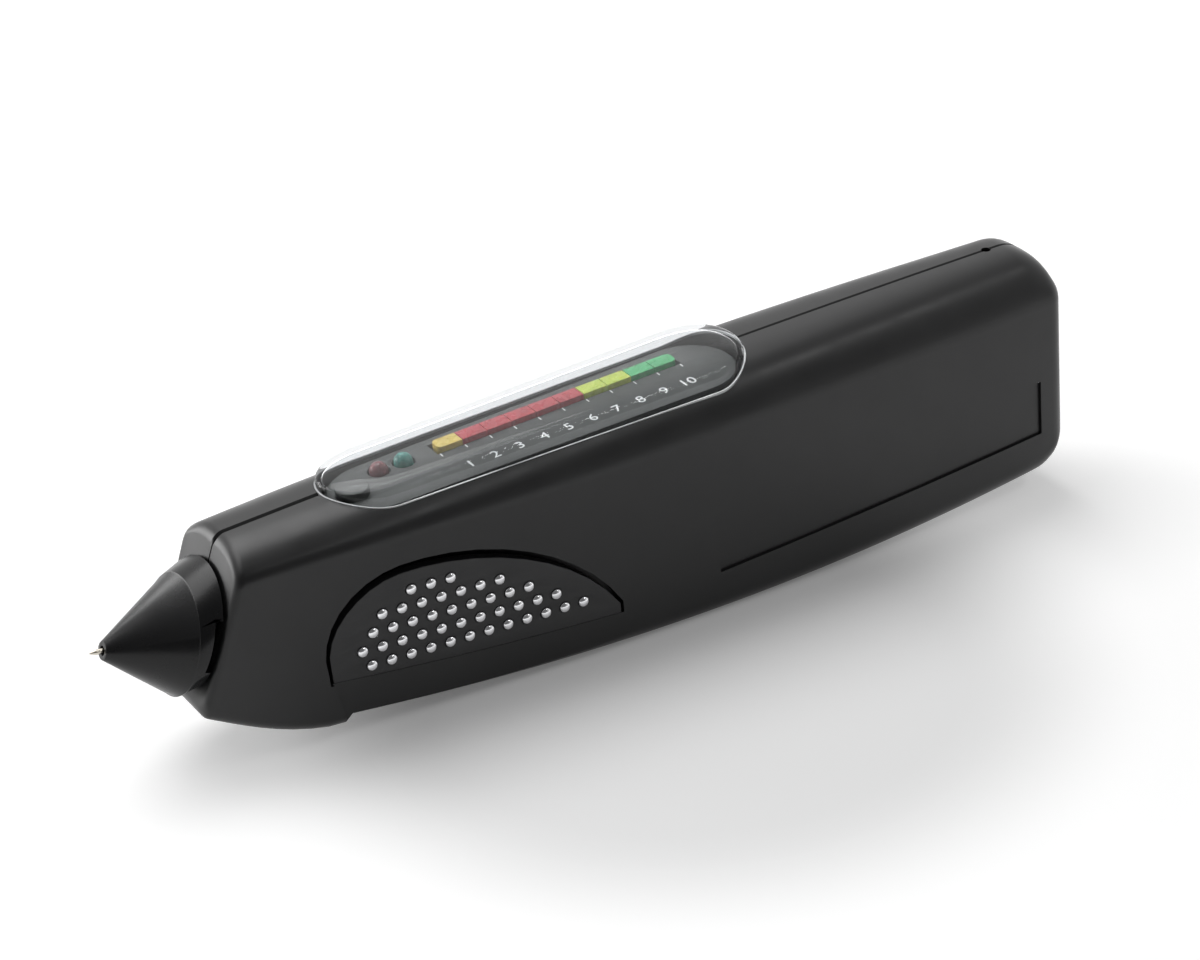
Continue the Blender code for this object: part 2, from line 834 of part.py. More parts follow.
# Window
def stadium(front, rear, half, steps):
    """Outline of a slot with round ends, from front to rear. It widens as the window does."""
    points = []
    for centre, start in ((rear - half, -math.pi / 2), (front + half, math.pi / 2)):
        for step in range(steps + 1):
            angle = start + math.pi * step / steps
            x = centre + half * math.cos(angle)
            share = (x - window_front) / (window_rear - window_front)
            width = half * mix(window_front_share, window_rear_share, share)
            points.append((x, width * math.sin(angle)))
    return points


end_steps = 12
board_top = ledge_bottom - seat_gap
board_bottom = board_top - board_thickness
cover_bottom = ledge_top + seat_gap
ledge = flat_piece("display_ledge", stadium(
    window_front - ledge_spread, window_rear + ledge_spread, ledge_outer_half, end_steps),
    ledge_bottom, ledge_top, "Z")
ledge_opening = flat_piece("ledge_opening", stadium(
    window_front + ledge_inset, window_rear - ledge_inset, ledge_inner_half, end_steps),
    ledge_bottom - cut_over, ledge_top + cut_over, "Z")
window_opening = flat_piece("window_opening", stadium(
    window_front - seat_gap, window_rear + seat_gap, window_half + seat_gap, end_steps),
    ledge_top, cover_crown + cut_over, "Z")
for side, half in ((-1, casing_left), (1, casing_right)):
    keep_y = seam_gap / 2
    low, high = (-widest_half, -keep_y) if side < 0 else (keep_y, widest_half)
    keep = box(f"ledge_keep_{half.name}", (casing_front, low, ledge_bottom - cut_over),
               (casing_rear, high, ledge_top + cut_over))
    half_ledge = place(f"ledge_{half.name}", ledge.data.copy())
    shape_with(half_ledge, keep, "INTERSECT")
    cut(half_ledge, ledge_opening)
    join(half, half_ledge)
    cut(half, window_opening)


def cover_ring(inset, height_share, thickness):
    """One ring of the cover. Its rim follows the casing's top, and it rises to a level crown."""
    rim = stadium(window_front, window_rear, window_half, end_steps)
    ring = stadium(window_front + inset, window_rear - inset, window_half - inset, end_steps)
    points = []
    for (rim_x, rim_y), (x, y) in zip(rim, ring):
        rim_height = skin_height(rim_x, rim_y) - cover_rim_drop
        points.append((x, y, mix(rim_height, cover_crown - thickness, height_share)))
    return points


def dome(name, thickness, foot, steps, material=None):
    """The cover's outer skin, or with a thickness the room under it, from its foot up."""
    span = (window_half - thickness) * (1 - cover_flat_share)
    foot_ring = cover_ring(thickness, 0.0, thickness)
    rings = [[(x, y, foot) for x, y, _ in foot_ring]]
    for step in range(steps + 1):
        share = math.sin(math.pi / 2 * step / steps)
        reach = (1 - share ** cover_roundness_share) ** (1 / cover_roundness_share)
        rings.append(cover_ring(thickness + span * (1 - reach), share, thickness))
    return loft(name, rings, material)


display_cover = dome("display_cover", 0.0, cover_bottom, cover_steps, clear)
cover_hollow = dome("cover_hollow", cover_wall, cover_bottom - cut_over, hollow_steps)
cut(display_cover, cover_hollow)

display_panel = flat_piece("display_panel", stadium(
    window_front + panel_inset, window_rear - panel_inset, window_half - panel_inset, end_steps),
    panel_bottom, panel_top, "Z", panel_grey)
panel_boss = rod("panel_boss", (panel_boss_x, 0.0, panel_bottom + panel_thickness / 2),
                 (panel_boss_x, 0.0, panel_top + panel_boss_height), panel_boss_radius, 16)
join(display_panel, panel_boss)
bar_end = bar_start + bar_pitch * len(bar_colours)
bar_far = bar_near + bar_width
bar_slot = box("bar_slot", (bar_start - seat_gap, bar_near - seat_gap, panel_bottom - cut_over),
               (bar_end + seat_gap, bar_far + seat_gap, panel_top + cut_over))
cut(display_panel, bar_slot)
circuit_board = box("circuit_board", (board_front, -board_half, board_bottom),
                    (board_rear, board_half, board_top), board_green)
for number, colour in enumerate(bar_colours, start=1):
    start = bar_start + bar_pitch * (number - 1)
    box(f"bar_lamp_{number:02d}", (start + bar_gap / 2, bar_near, board_top + seat_gap),
        (start + bar_pitch - bar_gap / 2, bar_far, bar_top), lamp_materials[colour])
for name, lamp_x, colour in (("ready_lamp", ready_lamp_x, "green"),
                             ("battery_lamp", battery_lamp_x, "red")):
    foot = board_top + seat_gap
    straight = lamp_top - lamp_radius
    profile = [(lamp_radius * math.sin(angle), straight + lamp_radius * math.cos(angle))
               for angle in (0.0, math.pi / 6, math.pi / 3, math.pi / 2)]
    profile += [(lamp_radius, foot + lamp_flange_height),
                (lamp_flange_radius, foot + lamp_flange_height),
                (lamp_flange_radius, foot), (0.0, foot)]
    turned(name, profile, 14, (lamp_x, lamp_y, 0.0), (0.0, 0.0, 1.0), lamp_materials[colour])
    lamp_hole = rod(f"{name}_hole", (lamp_x, lamp_y, panel_bottom - cut_over),
                    (lamp_x, lamp_y, panel_top + cut_over), lamp_radius + seat_gap, 14)
    cut(display_panel, lamp_hole)
chip_top = board_bottom - seat_gap
microcontroller = box("microcontroller", (chip_x - chip_side / 2, -chip_side / 2,
                                          chip_top - chip_height),
                      (chip_x + chip_side / 2, chip_side / 2, chip_top), gloss_black)
buzzer = rod("buzzer", (buzzer_x, 0.0, chip_top), (buzzer_x, 0.0, chip_top - buzzer_height),
             buzzer_radius, 20, gloss_black)


# Grips
def grip_bottom(x):
    return belly_line(x) + grip_rise


def groove_width(share):
    """The groove's width along the grip's arc, from its rear end to its front end."""
    full = ease(share / groove_rear_share)
    return grip_groove * mix(full, groove_end_share,
                             ease((share - 1 + groove_front_share) / groove_front_share))


def grip_arc(margin, groove=False):
    """The grip's upper edge in X and Z, from rear to front, drawn in by a margin."""
    points = []
    for step in range(grip_rear_steps + 1):
        angle = math.pi / 2 * step / grip_rear_steps
        across = max(math.cos(angle), 0.0) ** grip_rear_round_share
        rise = math.sin(angle) ** grip_rear_round_share
        points.append((grip_peak_x + grip_rear_reach * across,
                       grip_top - grip_rear_drop * (1 - rise)))
    for step in range(1, grip_front_steps + 1):
        angle = math.pi / 2 + grip_front_turn * step / grip_front_steps
        points.append((grip_peak_x + grip_front_reach * math.cos(angle),
                       grip_top - grip_front_drop * (1 - math.sin(angle))))
    drawn_in = []
    for number in range(1, len(points) - 1):
        before, (x, z), after = points[number - 1:number + 2]
        run = math.dist(before, after)
        width = margin + (groove_width(number / (len(points) - 1)) if groove else 0.0)
        drawn_in.append((x - (after[1] - before[1]) / run * width,
                         z + (after[0] - before[0]) / run * width))
    return [(x, z) for x, z in drawn_in if z > grip_bottom(x) + margin]


def grip_outline(margin, groove=False):
    """The half-moon: its arc, and a lower edge that follows the belly."""
    arc = grip_arc(margin, groove)
    points = list(arc)
    for step in range(grip_bottom_steps + 1):
        x = mix(arc[-1][0], arc[0][0], step / grip_bottom_steps)
        points.append((x, grip_bottom(x) + margin))
    return points


def grip_facet_outline():
    """The flat below the grip, which runs out to the rear and down past the belly."""
    arc = grip_arc(facet_lap)
    (rear_x, rear_z), (front_x, front_z) = arc[0], arc[-1]
    below = belly_low - cut_over
    return [(rear_x + facet_run, rear_z), (rear_x, rear_z), (front_x, front_z),
            (chin_end, belly_line(chin_end)), (chin_end, below), (rear_x + facet_run, below)]


def grip_place(side):
    """A matrix that lays a flat piece, made at y = 0, on the sloping grip plane."""
    front_y = half_width(grip_front) - grip_front_sink
    rear_y = half_width(grip_rear) - grip_rear_sink
    angle = math.atan2(rear_y - front_y, grip_rear - grip_front)
    draft = math.atan2(side_draft, grip_top - belly_low)
    turn = Matrix.Rotation(side * angle, 4, "Z") @ Matrix.Rotation(-side * draft, 4, "X")
    there = Matrix.Translation((grip_front, side * front_y, 0.0))
    return there @ turn @ Matrix.Translation((-grip_front, 0.0, 0.0))


def stud_centres():
    """Rows of studs. Each row stops at its own share of the way from the grip's peak to its rear."""
    centres = []
    for row, (end_share, offset) in enumerate(zip(stud_row_end_shares, stud_offset_shares)):
        along = offset * stud_pitch
        row_end = mix(grip_peak_x, grip_rear, end_share)
        while stud_first_x + along < row_end:
            centres.append((stud_first_x + along,
                            stud_first_z + row * stud_row_pitch + along * math.tan(stud_slope)))
            along += stud_pitch
    return centres


stud_crown = stud_proud * stud_crown_share


def contact_studs(side, low, high):
    """One rod for each stud, drawn in to a small crown at its outer end."""
    shape = bmesh.new()
    for x, z in stud_centres():
        add_rod(shape, (x, side * low, z), (x, side * high, z), stud_radius, stud_sides)
    for vert in shape.verts:
        if abs(abs(vert.co.y) - high) < weld_distance:
            centre = min(stud_centres(), key=lambda spot: math.dist(spot, (vert.co.x, vert.co.z)))
            vert.co.x = mix(centre[0], vert.co.x, stud_top_share)
            vert.co.z = mix(centre[1], vert.co.z, stud_top_share)
            vert.co.y += side * stud_crown
    return shape


grip_room_depth = grip_thickness + contact_thickness + seat_gap * 2
for side, word, half in ((-1, "left", casing_left), (1, "right", casing_right)):
    low, high = sorted((0.0, -side * grip_thickness))
    grip_pad = flat_piece(f"grip_pad_{word}", grip_outline(seat_gap, groove=True), low, high,
                          "Y", grip_black)
    grip_pad.data.transform(grip_place(side))
    low, high = sorted((-side * wall / 2, -side * (grip_room_depth + grip_floor)))
    backing = flat_piece(f"grip_backing_{word}", grip_outline(-grip_floor_margin), low, high, "Y")
    backing.data.transform(grip_place(side))
    join(half, backing)
    low, high = sorted((side * cut_over * 2, -side * grip_room_depth))
    opening = flat_piece(f"grip_opening_{word}", grip_outline(0.0), low, high, "Y")
    opening.data.transform(grip_place(side))
    cut(half, opening)
    low, high = sorted((0.0, side * cut_over * 2))
    facet = flat_piece(f"grip_facet_{word}", grip_facet_outline(), low, high, "Y")
    facet.data.transform(grip_place(side))
    cut(half, facet)
    holes = bmesh.new()
    for x, z in stud_centres():
        add_rod(holes, (x, side * cut_over, z), (x, -side * (grip_thickness + cut_over), z),
                stud_radius + seat_gap / 2, stud_sides)
    hole_tool = place(f"stud_holes_{word}", mesh_from(f"stud_holes_{word}", holes))
    hole_tool.data.transform(grip_place(side))
    cut(grip_pad, hole_tool)
    back = grip_thickness + seat_gap
    low, high = sorted((-side * back, -side * (back + contact_thickness)))
    plate = flat_piece(f"contact_plate_{word}", grip_outline(contact_inset, groove=True),
                       low, high, "Y", chrome)
    plate.data.transform(grip_place(side))
    studs = contact_studs(side, -(back + contact_thickness / 2), stud_proud - stud_crown)
    stud_tool = place(f"contact_studs_{word}", mesh_from(f"contact_studs_{word}", studs))
    stud_tool.data.transform(grip_place(side))
    join(plate, stud_tool)


# Cells, tray and contacts
contact_room = contact_leaf + seat_gap * 2
tray_front = cell_front - contact_room - tray_wall
tray_rear = cell_front + cell_total + contact_room + tray_wall
tray_back = -(cell_radius + seat_gap + tray_wall)
battery_tray = box("battery_tray", (tray_front, tray_back, tray_low),
                   (tray_rear, tray_front_lip, tray_high), gloss_black)
pocket = box("tray_pocket", (tray_front + tray_wall, -cradle_depth, tray_low - cut_over),
             (tray_rear - tray_wall, tray_front_lip + cut_over, tray_high + cut_over))
cut(battery_tray, pocket)
for number, height in enumerate(cell_heights, start=1):
    cradle = rod(f"cradle_{number}", (tray_front + tray_wall, 0.0, height),
                 (tray_rear - tray_wall, 0.0, height), cell_radius + seat_gap, 20)
    cut(battery_tray, cradle)
    nub_rear = number % 2 == 1
    start = cell_front if nub_rear else cell_front + cell_total
    way = 1.0 if nub_rear else -1.0
    turned(f"battery_{number}", [
        (0.0, cell_total), (cell_nub_radius, cell_total), (cell_nub_radius, cell_length),
        (cell_radius, cell_length), (cell_radius, 0.0), (0.0, 0.0),
    ], 18, (start, 0.0, height), (way, 0.0, 0.0), cell_grey)


def contact(name, x, cells):
    heights = [cell_heights[number] for number in cells]
    box(name, (x, -leaf_width / 2, min(heights) - leaf_width / 2),
        (x + contact_leaf, leaf_width / 2, max(heights) + leaf_width / 2), steel)


front_contact_x = cell_front - seat_gap - contact_leaf
rear_contact_x = cell_front + cell_total + seat_gap
contact("battery_contact_front", front_contact_x, [0])
contact("battery_bridge_front", front_contact_x, [1, 2])
contact("battery_bridge_rear", rear_contact_x, [0, 1])
contact("battery_contact_rear", rear_contact_x, [2])
rib_middle = (cell_heights[0] + cell_heights[-1]) / 2
for number, share in enumerate(rib_shares, start=1):
    rib_x = mix(tray_front, tray_rear, share)
    rib = box(f"tray_rib_{number}", (rib_x - rib_thickness / 2, -half_width(rib_x) + wall / 2,
                                     rib_middle - rib_height / 2),
              (rib_x + rib_thickness / 2, tray_back - seat_gap, rib_middle + rib_height / 2))
    join(casing_left, rib)

# Battery door, cut from the same skin as the far half
battery_door = casing_half("battery_door", 1)
cut(battery_door, cavity)
door_keep = box("door_keep", (door_front + seat_gap, cell_radius, door_bottom + seat_gap),
                (door_rear - seat_gap, widest_half + cut_over, door_top - seat_gap))
shape_with(battery_door, door_keep, "INTERSECT")
door_opening = box("door_opening", (door_front, cell_radius, door_bottom),
                   (door_rear, widest_half + cut_over, door_top))
cut(casing_right, door_opening)
for number, share in enumerate(rib_shares[::2], start=1):
    rib_x = mix(door_front, door_rear, share)
    rib = box(f"door_rib_{number}", (rib_x - rib_thickness / 2, cell_radius + seat_gap,
                                     rib_middle - rib_height / 2),
              (rib_x + rib_thickness / 2, half_width(rib_x) - wall / 2,
               rib_middle + rib_height / 2))
    join(battery_door, rib)
thumb_x = door_rear - door_thumb_setback
tab_skin = half_width(door_front) - side_draft - wall - seat_gap
for number, way in enumerate((-1, 1), start=1):
    tab_middle = rib_middle + way * door_tab_spacing / 2
    low, high = tab_middle - door_tab_height / 2, tab_middle + door_tab_height / 2
    join(battery_door, box(f"door_tab_{number}",
                           (door_front - door_tab_reach, tab_skin - door_tab_thickness, low),
                           (door_front + door_tab_root, tab_skin, high)))
    join(battery_door, box(f"door_tab_root_{number}",
                           (door_front + seat_gap * 2, tab_skin - door_tab_thickness / 2, low),
                           (door_front + door_tab_root, tab_skin + wall / 2, high)))
thumb_y = half_width(thumb_x)
door_thumb = rod("door_thumb", (thumb_x, thumb_y - door_thumb_depth, rib_middle),
                 (thumb_x, thumb_y + cut_over, rib_middle), door_thumb_radius, 20)
cut(battery_door, door_thumb)
door_hinge = (door_front + seat_gap, half_width(door_front), rib_middle)
move_origin(battery_door, door_hinge)

# Power switch in the far side
side_y = half_width(switch_x) - side_draft / 2
switch_outer = side_y - wall - seat_gap
power_switch = box("power_switch", (switch_x - switch_length / 2, switch_outer - switch_depth,
                                    switch_z - switch_height / 2),
                   (switch_x + switch_length / 2, switch_outer, switch_z + switch_height / 2),
                   gloss_black)
slider_x = switch_x - slider_travel / 2
power_slider = box("power_slider", (slider_x - slider_length / 2, switch_outer + seat_gap,
                                    switch_z - slider_height / 2),
                   (slider_x + slider_length / 2, side_y - slider_inset,
                    switch_z + slider_height / 2), grip_black)
move_origin(power_slider, (slider_x, switch_outer + seat_gap, switch_z))
slot_half = (slider_length + slider_travel) / 2 + seat_gap
switch_slot = box("switch_slot", (switch_x - slot_half, switch_outer,
                                  switch_z - slider_height / 2 - seat_gap),
                  (switch_x + slot_half, side_y + cut_over,
                   switch_z + slider_height / 2 + seat_gap))
switch_dish = box("switch_dish", (switch_x - slot_half - slot_dish_margin,
                                  side_y - slot_dish_depth,
                                  switch_z - slider_height / 2 - slot_dish_margin),
                  (switch_x + slot_half + slot_dish_margin, side_y + cut_over,
                   switch_z + slider_height / 2 + slot_dish_margin))
cut(casing_right, switch_slot)
cut(casing_right, switch_dish)

# Power socket in the rear wall
socket_mouth = casing_rear - seat_gap
socket_back = socket_mouth - socket_length
socket_flange_front = casing_rear - wall - seat_gap
turned("power_socket", [
    (0.0, socket_length - socket_bore_depth),
    (socket_bore_radius, socket_length - socket_bore_depth),
    (socket_bore_radius, socket_length),
    (socket_radius, socket_length),
    (socket_radius, socket_flange_front - socket_back),
    (socket_flange_radius, socket_flange_front - socket_back),
    (socket_flange_radius, socket_flange_front - socket_flange_length - socket_back),
    (socket_radius, socket_flange_front - socket_flange_length - socket_back),
    (socket_radius, 0.0),
    (0.0, 0.0),
], 18, (socket_back, 0.0, socket_z), (1.0, 0.0, 0.0), gloss_black)
socket_hole = rod("socket_hole", (socket_flange_front - cut_over, 0.0, socket_z),
                  (casing_rear + cut_over, 0.0, socket_z), socket_radius + seat_gap, 18)

# Label recess, following the skin of the shown side
label_box = box("label_recess", (label_front, -widest_half - cut_over, label_bottom),
                (label_rear, -seam_gap, label_top))
label_floor = cavity_loft("label_floor", label_recess)
cut(label_box, label_floor)
cut(casing_left, label_box)

# Strap hole on the seam, near the rear
strap_x = casing_rear - strap_hole_setback
strap_hole = rod("strap_hole", (strap_x, 0.0, top_line(strap_x) - strap_hole_depth),
                 (strap_x, 0.0, top_line(strap_x) + cut_over), strap_hole_radius, 10)
for half in (casing_left, casing_right):
    cut(half, socket_hole)
    cut(half, strap_hole)

# Screws from the far side into posts of the shown side
for number, (x, z) in enumerate(screw_places, start=1):
    skin = half_width(x)
    seat = skin - screw_sink
    for half, start, finish in ((casing_left, -seam_gap / 2, -skin + wall / 2),
                                (casing_right, seam_gap / 2, skin - wall / 2)):
        join(half, rod(f"post_{number}_{half.name}", (x, start, z), (x, finish, z),
                       boss_radius, 16))
    tip = seat - screw_length
    cut(casing_left, rod(f"pilot_{number}", (x, cut_over, z), (x, tip - seat_gap, z),
                         screw_radius + seat_gap, 10))
    cut(casing_right, rod(f"shank_hole_{number}", (x, -cut_over, z), (x, skin, z),
                          screw_radius + seat_gap, 10))
    cut(casing_right, rod(f"head_bore_{number}", (x, seat - seat_gap, z),
                          (x, skin + cut_over, z), screw_head_radius + seat_gap, 12))
    turned(f"casing_screw_{number}", [
        (0.0, screw_head_height), (screw_head_radius, screw_head_height),
        (screw_head_radius, 0.0), (screw_radius, 0.0),
        (screw_radius, -screw_length + screw_radius), (0.0, -screw_length),
    ], 12, (x, seat, z), (0.0, 1.0, 0.0), steel)

# The small flat that the tester rests on, level once the frame is pitched
belly_run = casing_front - belly_low_x
rest_x = belly_low_x + math.tan(rest_pitch) * belly_run ** 2 / (belly_front - belly_low) / 2
rest_box = box("rest_box", (casing_front, -widest_half, -cut_over),
               (casing_rear, widest_half, 0.0))
rest_box.rotation_euler = (0.0, -rest_pitch, 0.0)
rest_box.location = (rest_x, 0.0, belly_line(rest_x) + rest_flat_depth)
for half in (casing_left, casing_right):
    cut(half, rest_box)

# The frame puts the middle of the tester over the world origin, with its belly on the ground
bpy.context.view_layer.update()
depsgraph = bpy.context.evaluated_depsgraph_get()
spots = []
for thing in parts.objects:
    if thing.type == "MESH":
        seen = thing.evaluated_get(depsgraph)
        spots += [seen.matrix_world @ vertex.co for vertex in seen.data.vertices]
lowest = Vector([min(spot[axis] for spot in spots) for axis in range(3)])
highest = Vector([max(spot[axis] for spot in spots) for axis in range(3)])
middle = (lowest + highest) / 2
frame.location = (-middle.x, -middle.y, -lowest.z)
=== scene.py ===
"""The hand-held gem tester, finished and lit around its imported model.

Lengths are in metres. The tester's own frame has X from nose to rear, Z up and the shown side
at -Y, and it lies pitched on its belly in the world. The finished shells follow the same lines
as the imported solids, in finer steps.
"""

import json
import math

import bmesh
import bpy
from mathutils import Matrix, Vector


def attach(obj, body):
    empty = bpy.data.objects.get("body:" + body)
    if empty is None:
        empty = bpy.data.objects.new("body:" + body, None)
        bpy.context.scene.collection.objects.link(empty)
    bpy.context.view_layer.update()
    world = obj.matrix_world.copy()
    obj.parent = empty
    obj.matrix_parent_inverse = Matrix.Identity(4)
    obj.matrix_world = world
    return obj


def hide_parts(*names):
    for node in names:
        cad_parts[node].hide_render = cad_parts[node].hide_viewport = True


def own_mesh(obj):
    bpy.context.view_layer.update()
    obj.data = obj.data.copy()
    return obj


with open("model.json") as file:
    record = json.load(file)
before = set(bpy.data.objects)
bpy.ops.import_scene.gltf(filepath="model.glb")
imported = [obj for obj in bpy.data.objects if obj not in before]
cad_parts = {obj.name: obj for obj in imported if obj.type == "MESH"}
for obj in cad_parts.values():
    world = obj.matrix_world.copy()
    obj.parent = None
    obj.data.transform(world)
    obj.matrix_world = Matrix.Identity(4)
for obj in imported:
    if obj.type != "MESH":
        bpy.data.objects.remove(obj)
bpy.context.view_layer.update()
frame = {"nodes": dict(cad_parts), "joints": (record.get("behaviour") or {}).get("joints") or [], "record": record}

MM = 0.001
nodes = frame["nodes"]
node_body = {name: body for body, names in frame["record"]["behaviour"]["bodies"].items()
             for name in names}
joints = {joint["name"]: joint for joint in frame["joints"]}
scene = bpy.context.scene

# Gaps between pieces
wall = 2.0 * MM
seam_gap = 0.3 * MM
seat_gap = 0.3 * MM
cut_over = 2.0 * MM
weld_distance = 0.001 * MM
flat_angle = math.radians(0.5)
smooth_angle = math.radians(32)

# Heights at the top
top_front = 15.1 * MM
top_fall = 0.7 * MM
top_rear = top_front - top_fall
top_crown = 1.0 * MM
shoulder_drop_front = 3.2 * MM
shoulder_drop_middle = 6.3 * MM
shoulder_drop_rear = 7.5 * MM
shoulder_front = top_front - shoulder_drop_front
shoulder_middle = top_front - shoulder_drop_middle
shoulder_rear = top_front - shoulder_drop_rear
panel_drop = 1.7 * MM
panel_top = top_front - panel_drop
panel_thickness = 1.0 * MM
ledge_thickness = 1.2 * MM
panel_bottom = panel_top - panel_thickness
ledge_top = panel_bottom - seat_gap
ledge_bottom = ledge_top - ledge_thickness

# Cells and their tray
cell_radius = 5.25 * MM
cell_length = 43.3 * MM
cell_nub_radius = 1.9 * MM
cell_nub_length = 1.2 * MM
cell_total = cell_length + cell_nub_length
cell_front = 25.0 * MM
cell_gap = 0.4 * MM
cell_count = 3
cell_head_room = 1.45 * MM
cell_top_z = ledge_bottom - cell_head_room - cell_radius
cell_pitch = cell_radius * 2 + cell_gap
cell_heights = [cell_top_z - cell_pitch * number for number in range(cell_count)]
tray_wall = 1.2 * MM
rib_thickness = 1.6 * MM
rib_shares = [0.15, 0.5, 0.85]
rib_height = 18.0 * MM

# Casing outline
casing_front = -69.7 * MM
rear_room = 16.2 * MM
casing_rear = cell_front + cell_total + rear_room
belly_room = 0.9 * MM
belly_low = cell_heights[-1] - cell_radius - belly_room - wall
belly_low_x = 52.0 * MM
belly_front = -13.6 * MM
chin_end = -51.4 * MM
chin_depth = 1.35 * MM
chin_rise = 6.9 * MM
chin_step_run = 1.3 * MM
chin_curve_share = 1.5
side_room = 3.25 * MM
widest_half = cell_radius + seat_gap + tray_wall + side_room + wall
widest_x = 10.0 * MM
front_taper = 2.3 * MM
rear_taper = 2.5 * MM
shoulder_middle_x = 20.0 * MM
arch_front_share = 3.0
arch_middle_share = 4.0
arch_rear_share = 3.2
arch_reach_share = 0.9
least_arch = 0.7 * MM
side_draft = 0.4 * MM
shoulder_radius = 1.4 * MM
belly_edge_front = 2.0 * MM
belly_edge_rear = 4.0 * MM
front_lean = math.radians(23.4)
lean_length = 28.0 * MM
front_edge_radius = 1.4 * MM
rear_top_radius = 6.0 * MM
rear_bottom_radius = 6.0 * MM
rear_side_radius = 2.5 * MM
rest_pitch = math.radians(-3.2)
rest_flat_depth = 0.1 * MM
cavity_shares = [0.0, 0.06, 0.13, 0.22, 0.35, 0.5, 0.65, 0.8, 0.92, 0.97, 1.0]
cavity_arch_steps = 4
cavity_corner_steps = 2
solving_rounds = 30

# Nose
nose_margin = 0.64 * MM
nose_base_radius = widest_half - front_taper - nose_margin
nose_base_reach = 2.63 * MM
nose_base_lift = 1.74 * MM
nose_base_lean = math.radians(19.1)
nose_cone_length = 12.87 * MM
nose_tip_rise = 2.01 * MM
collar_step = 0.8 * MM
collar_radius = nose_base_radius + collar_step
collar_lift = 2.45 * MM
collar_gap = 0.55 * MM
collar_edge = 0.12 * MM
collar_edge_run = 0.06 * MM
neck_radius = nose_base_radius - collar_step
collar_slot_depth = 0.95 * MM
collar_slot_height = 8.2 * MM
collar_slot_wall = 0.5 * MM
nose_blunt_radius = 1.4 * MM
probe_hole_radius = 0.75 * MM
holder_bore_radius = 1.8 * MM
holder_bore_start = 3.6 * MM
holder_bore_length = 2.6 * MM

# Probe and its spring, along the probe's own axis from the tip
probe_radius = 0.4 * MM
probe_point_length = 1.0 * MM
probe_point_share = 0.25
probe_length = 11.0 * MM
holder_radius = 1.5 * MM
flange_start = 11.6 * MM
flange_radius = 2.6 * MM
flange_length = 1.5 * MM
tail_radius = 1.1 * MM
tail_length = 15.0 * MM
guide_start = 10.0 * MM
guide_length = 16.5 * MM
guide_bore_radius = 3.0 * MM
guide_wall = 1.1 * MM
guide_flange_radius = 6.2 * MM

# Window, panel and lights
window_front = -45.7 * MM
window_rear = 27.7 * MM
window_margin = 2.8 * MM
window_half = widest_half - window_margin
window_front_share = 0.88
window_rear_share = 1.03
cover_proud = 2.5 * MM
cover_crown = top_front + cover_proud
cover_rim_drop = 0.1 * MM
cover_wall = 1.0 * MM
cover_roundness_share = 4.0
cover_flat_share = 0.03
panel_gap = 0.4 * MM
panel_inset = cover_wall + panel_gap
panel_lap = 1.0 * MM
ledge_inset = panel_inset + panel_lap
ledge_spread = 0.1 * MM
panel_boss_radius = 2.6 * MM
panel_boss_height = 1.4 * MM
panel_boss_x = -40.6 * MM
bar_start = -24.6 * MM
bar_pitch = 4.32 * MM
bar_gap = 0.3 * MM
bar_near = 2.4 * MM
bar_width = 2.8 * MM
bar_proud = 0.7 * MM
bar_top = panel_top + bar_proud
bar_colours = ["yellow"] + ["red"] * 5 + ["lime"] * 2 + ["green"] * 2
lamp_radius = 1.5 * MM
lamp_proud = 1.5 * MM
lamp_top = panel_top + lamp_proud
lamp_flange_radius = 1.75 * MM
lamp_flange_height = 0.8 * MM
lamp_y = 3.5 * MM
ready_lamp_x = -30.1 * MM
battery_lamp_x = -34.3 * MM

# Grips
grip_peak_x = -39.5 * MM
grip_top = 5.8 * MM
grip_front_reach = 13.85 * MM
grip_front_drop = 12.3 * MM
grip_front_turn = math.radians(112)
grip_front_steps = 9
grip_rear_reach = 39.0 * MM
grip_rear_drop = 30.8 * MM
grip_rear_round_share = 1.08
grip_rear_steps = 13
grip_bottom_steps = 5
grip_rise = 6.3 * MM
grip_front = grip_peak_x - grip_front_reach
grip_rear = grip_peak_x + grip_rear_reach
grip_thickness = 1.6 * MM
grip_front_sink = 0.9 * MM
grip_rear_sink = 0.1 * MM
grip_groove = 1.6 * MM
groove_rear_share = 0.55
groove_front_share = 0.3
groove_end_share = 0.25
facet_run = 6.0 * MM
facet_lap = 0.25 * MM
stud_pitch = 3.26 * MM
stud_row_pitch = 2.75 * MM
stud_radius = 0.8 * MM
stud_proud = 0.55 * MM
stud_setback = 7.45 * MM
stud_first_x = grip_front + stud_setback
stud_first_z = -9.8 * MM
stud_slope = math.radians(-4.2)
stud_row_end_shares = [0.78, 0.68, 0.55, 0.42, 0.21]
stud_offset_shares = [0.0, -0.36, 0.27, 0.84, 2.41]
contact_thickness = 0.6 * MM
contact_inset = 1.2 * MM
grip_floor = 1.2 * MM
grip_floor_margin = 1.2 * MM

# Battery door
door_front_margin = 3.0 * MM
door_rear_margin = 5.0 * MM
door_bottom_rise = 6.55 * MM
door_front = cell_front - door_front_margin
door_rear = cell_front + cell_total + door_rear_margin
door_bottom = belly_low + door_bottom_rise
door_top = shoulder_rear - shoulder_radius
door_thumb_radius = 4.0 * MM
door_thumb_depth = 0.8 * MM
door_thumb_setback = 6.4 * MM
door_tab_reach = 1.5 * MM
door_tab_root = 2.5 * MM
door_tab_thickness = 1.2 * MM
door_tab_height = 5.0 * MM
door_tab_spacing = 15.0 * MM

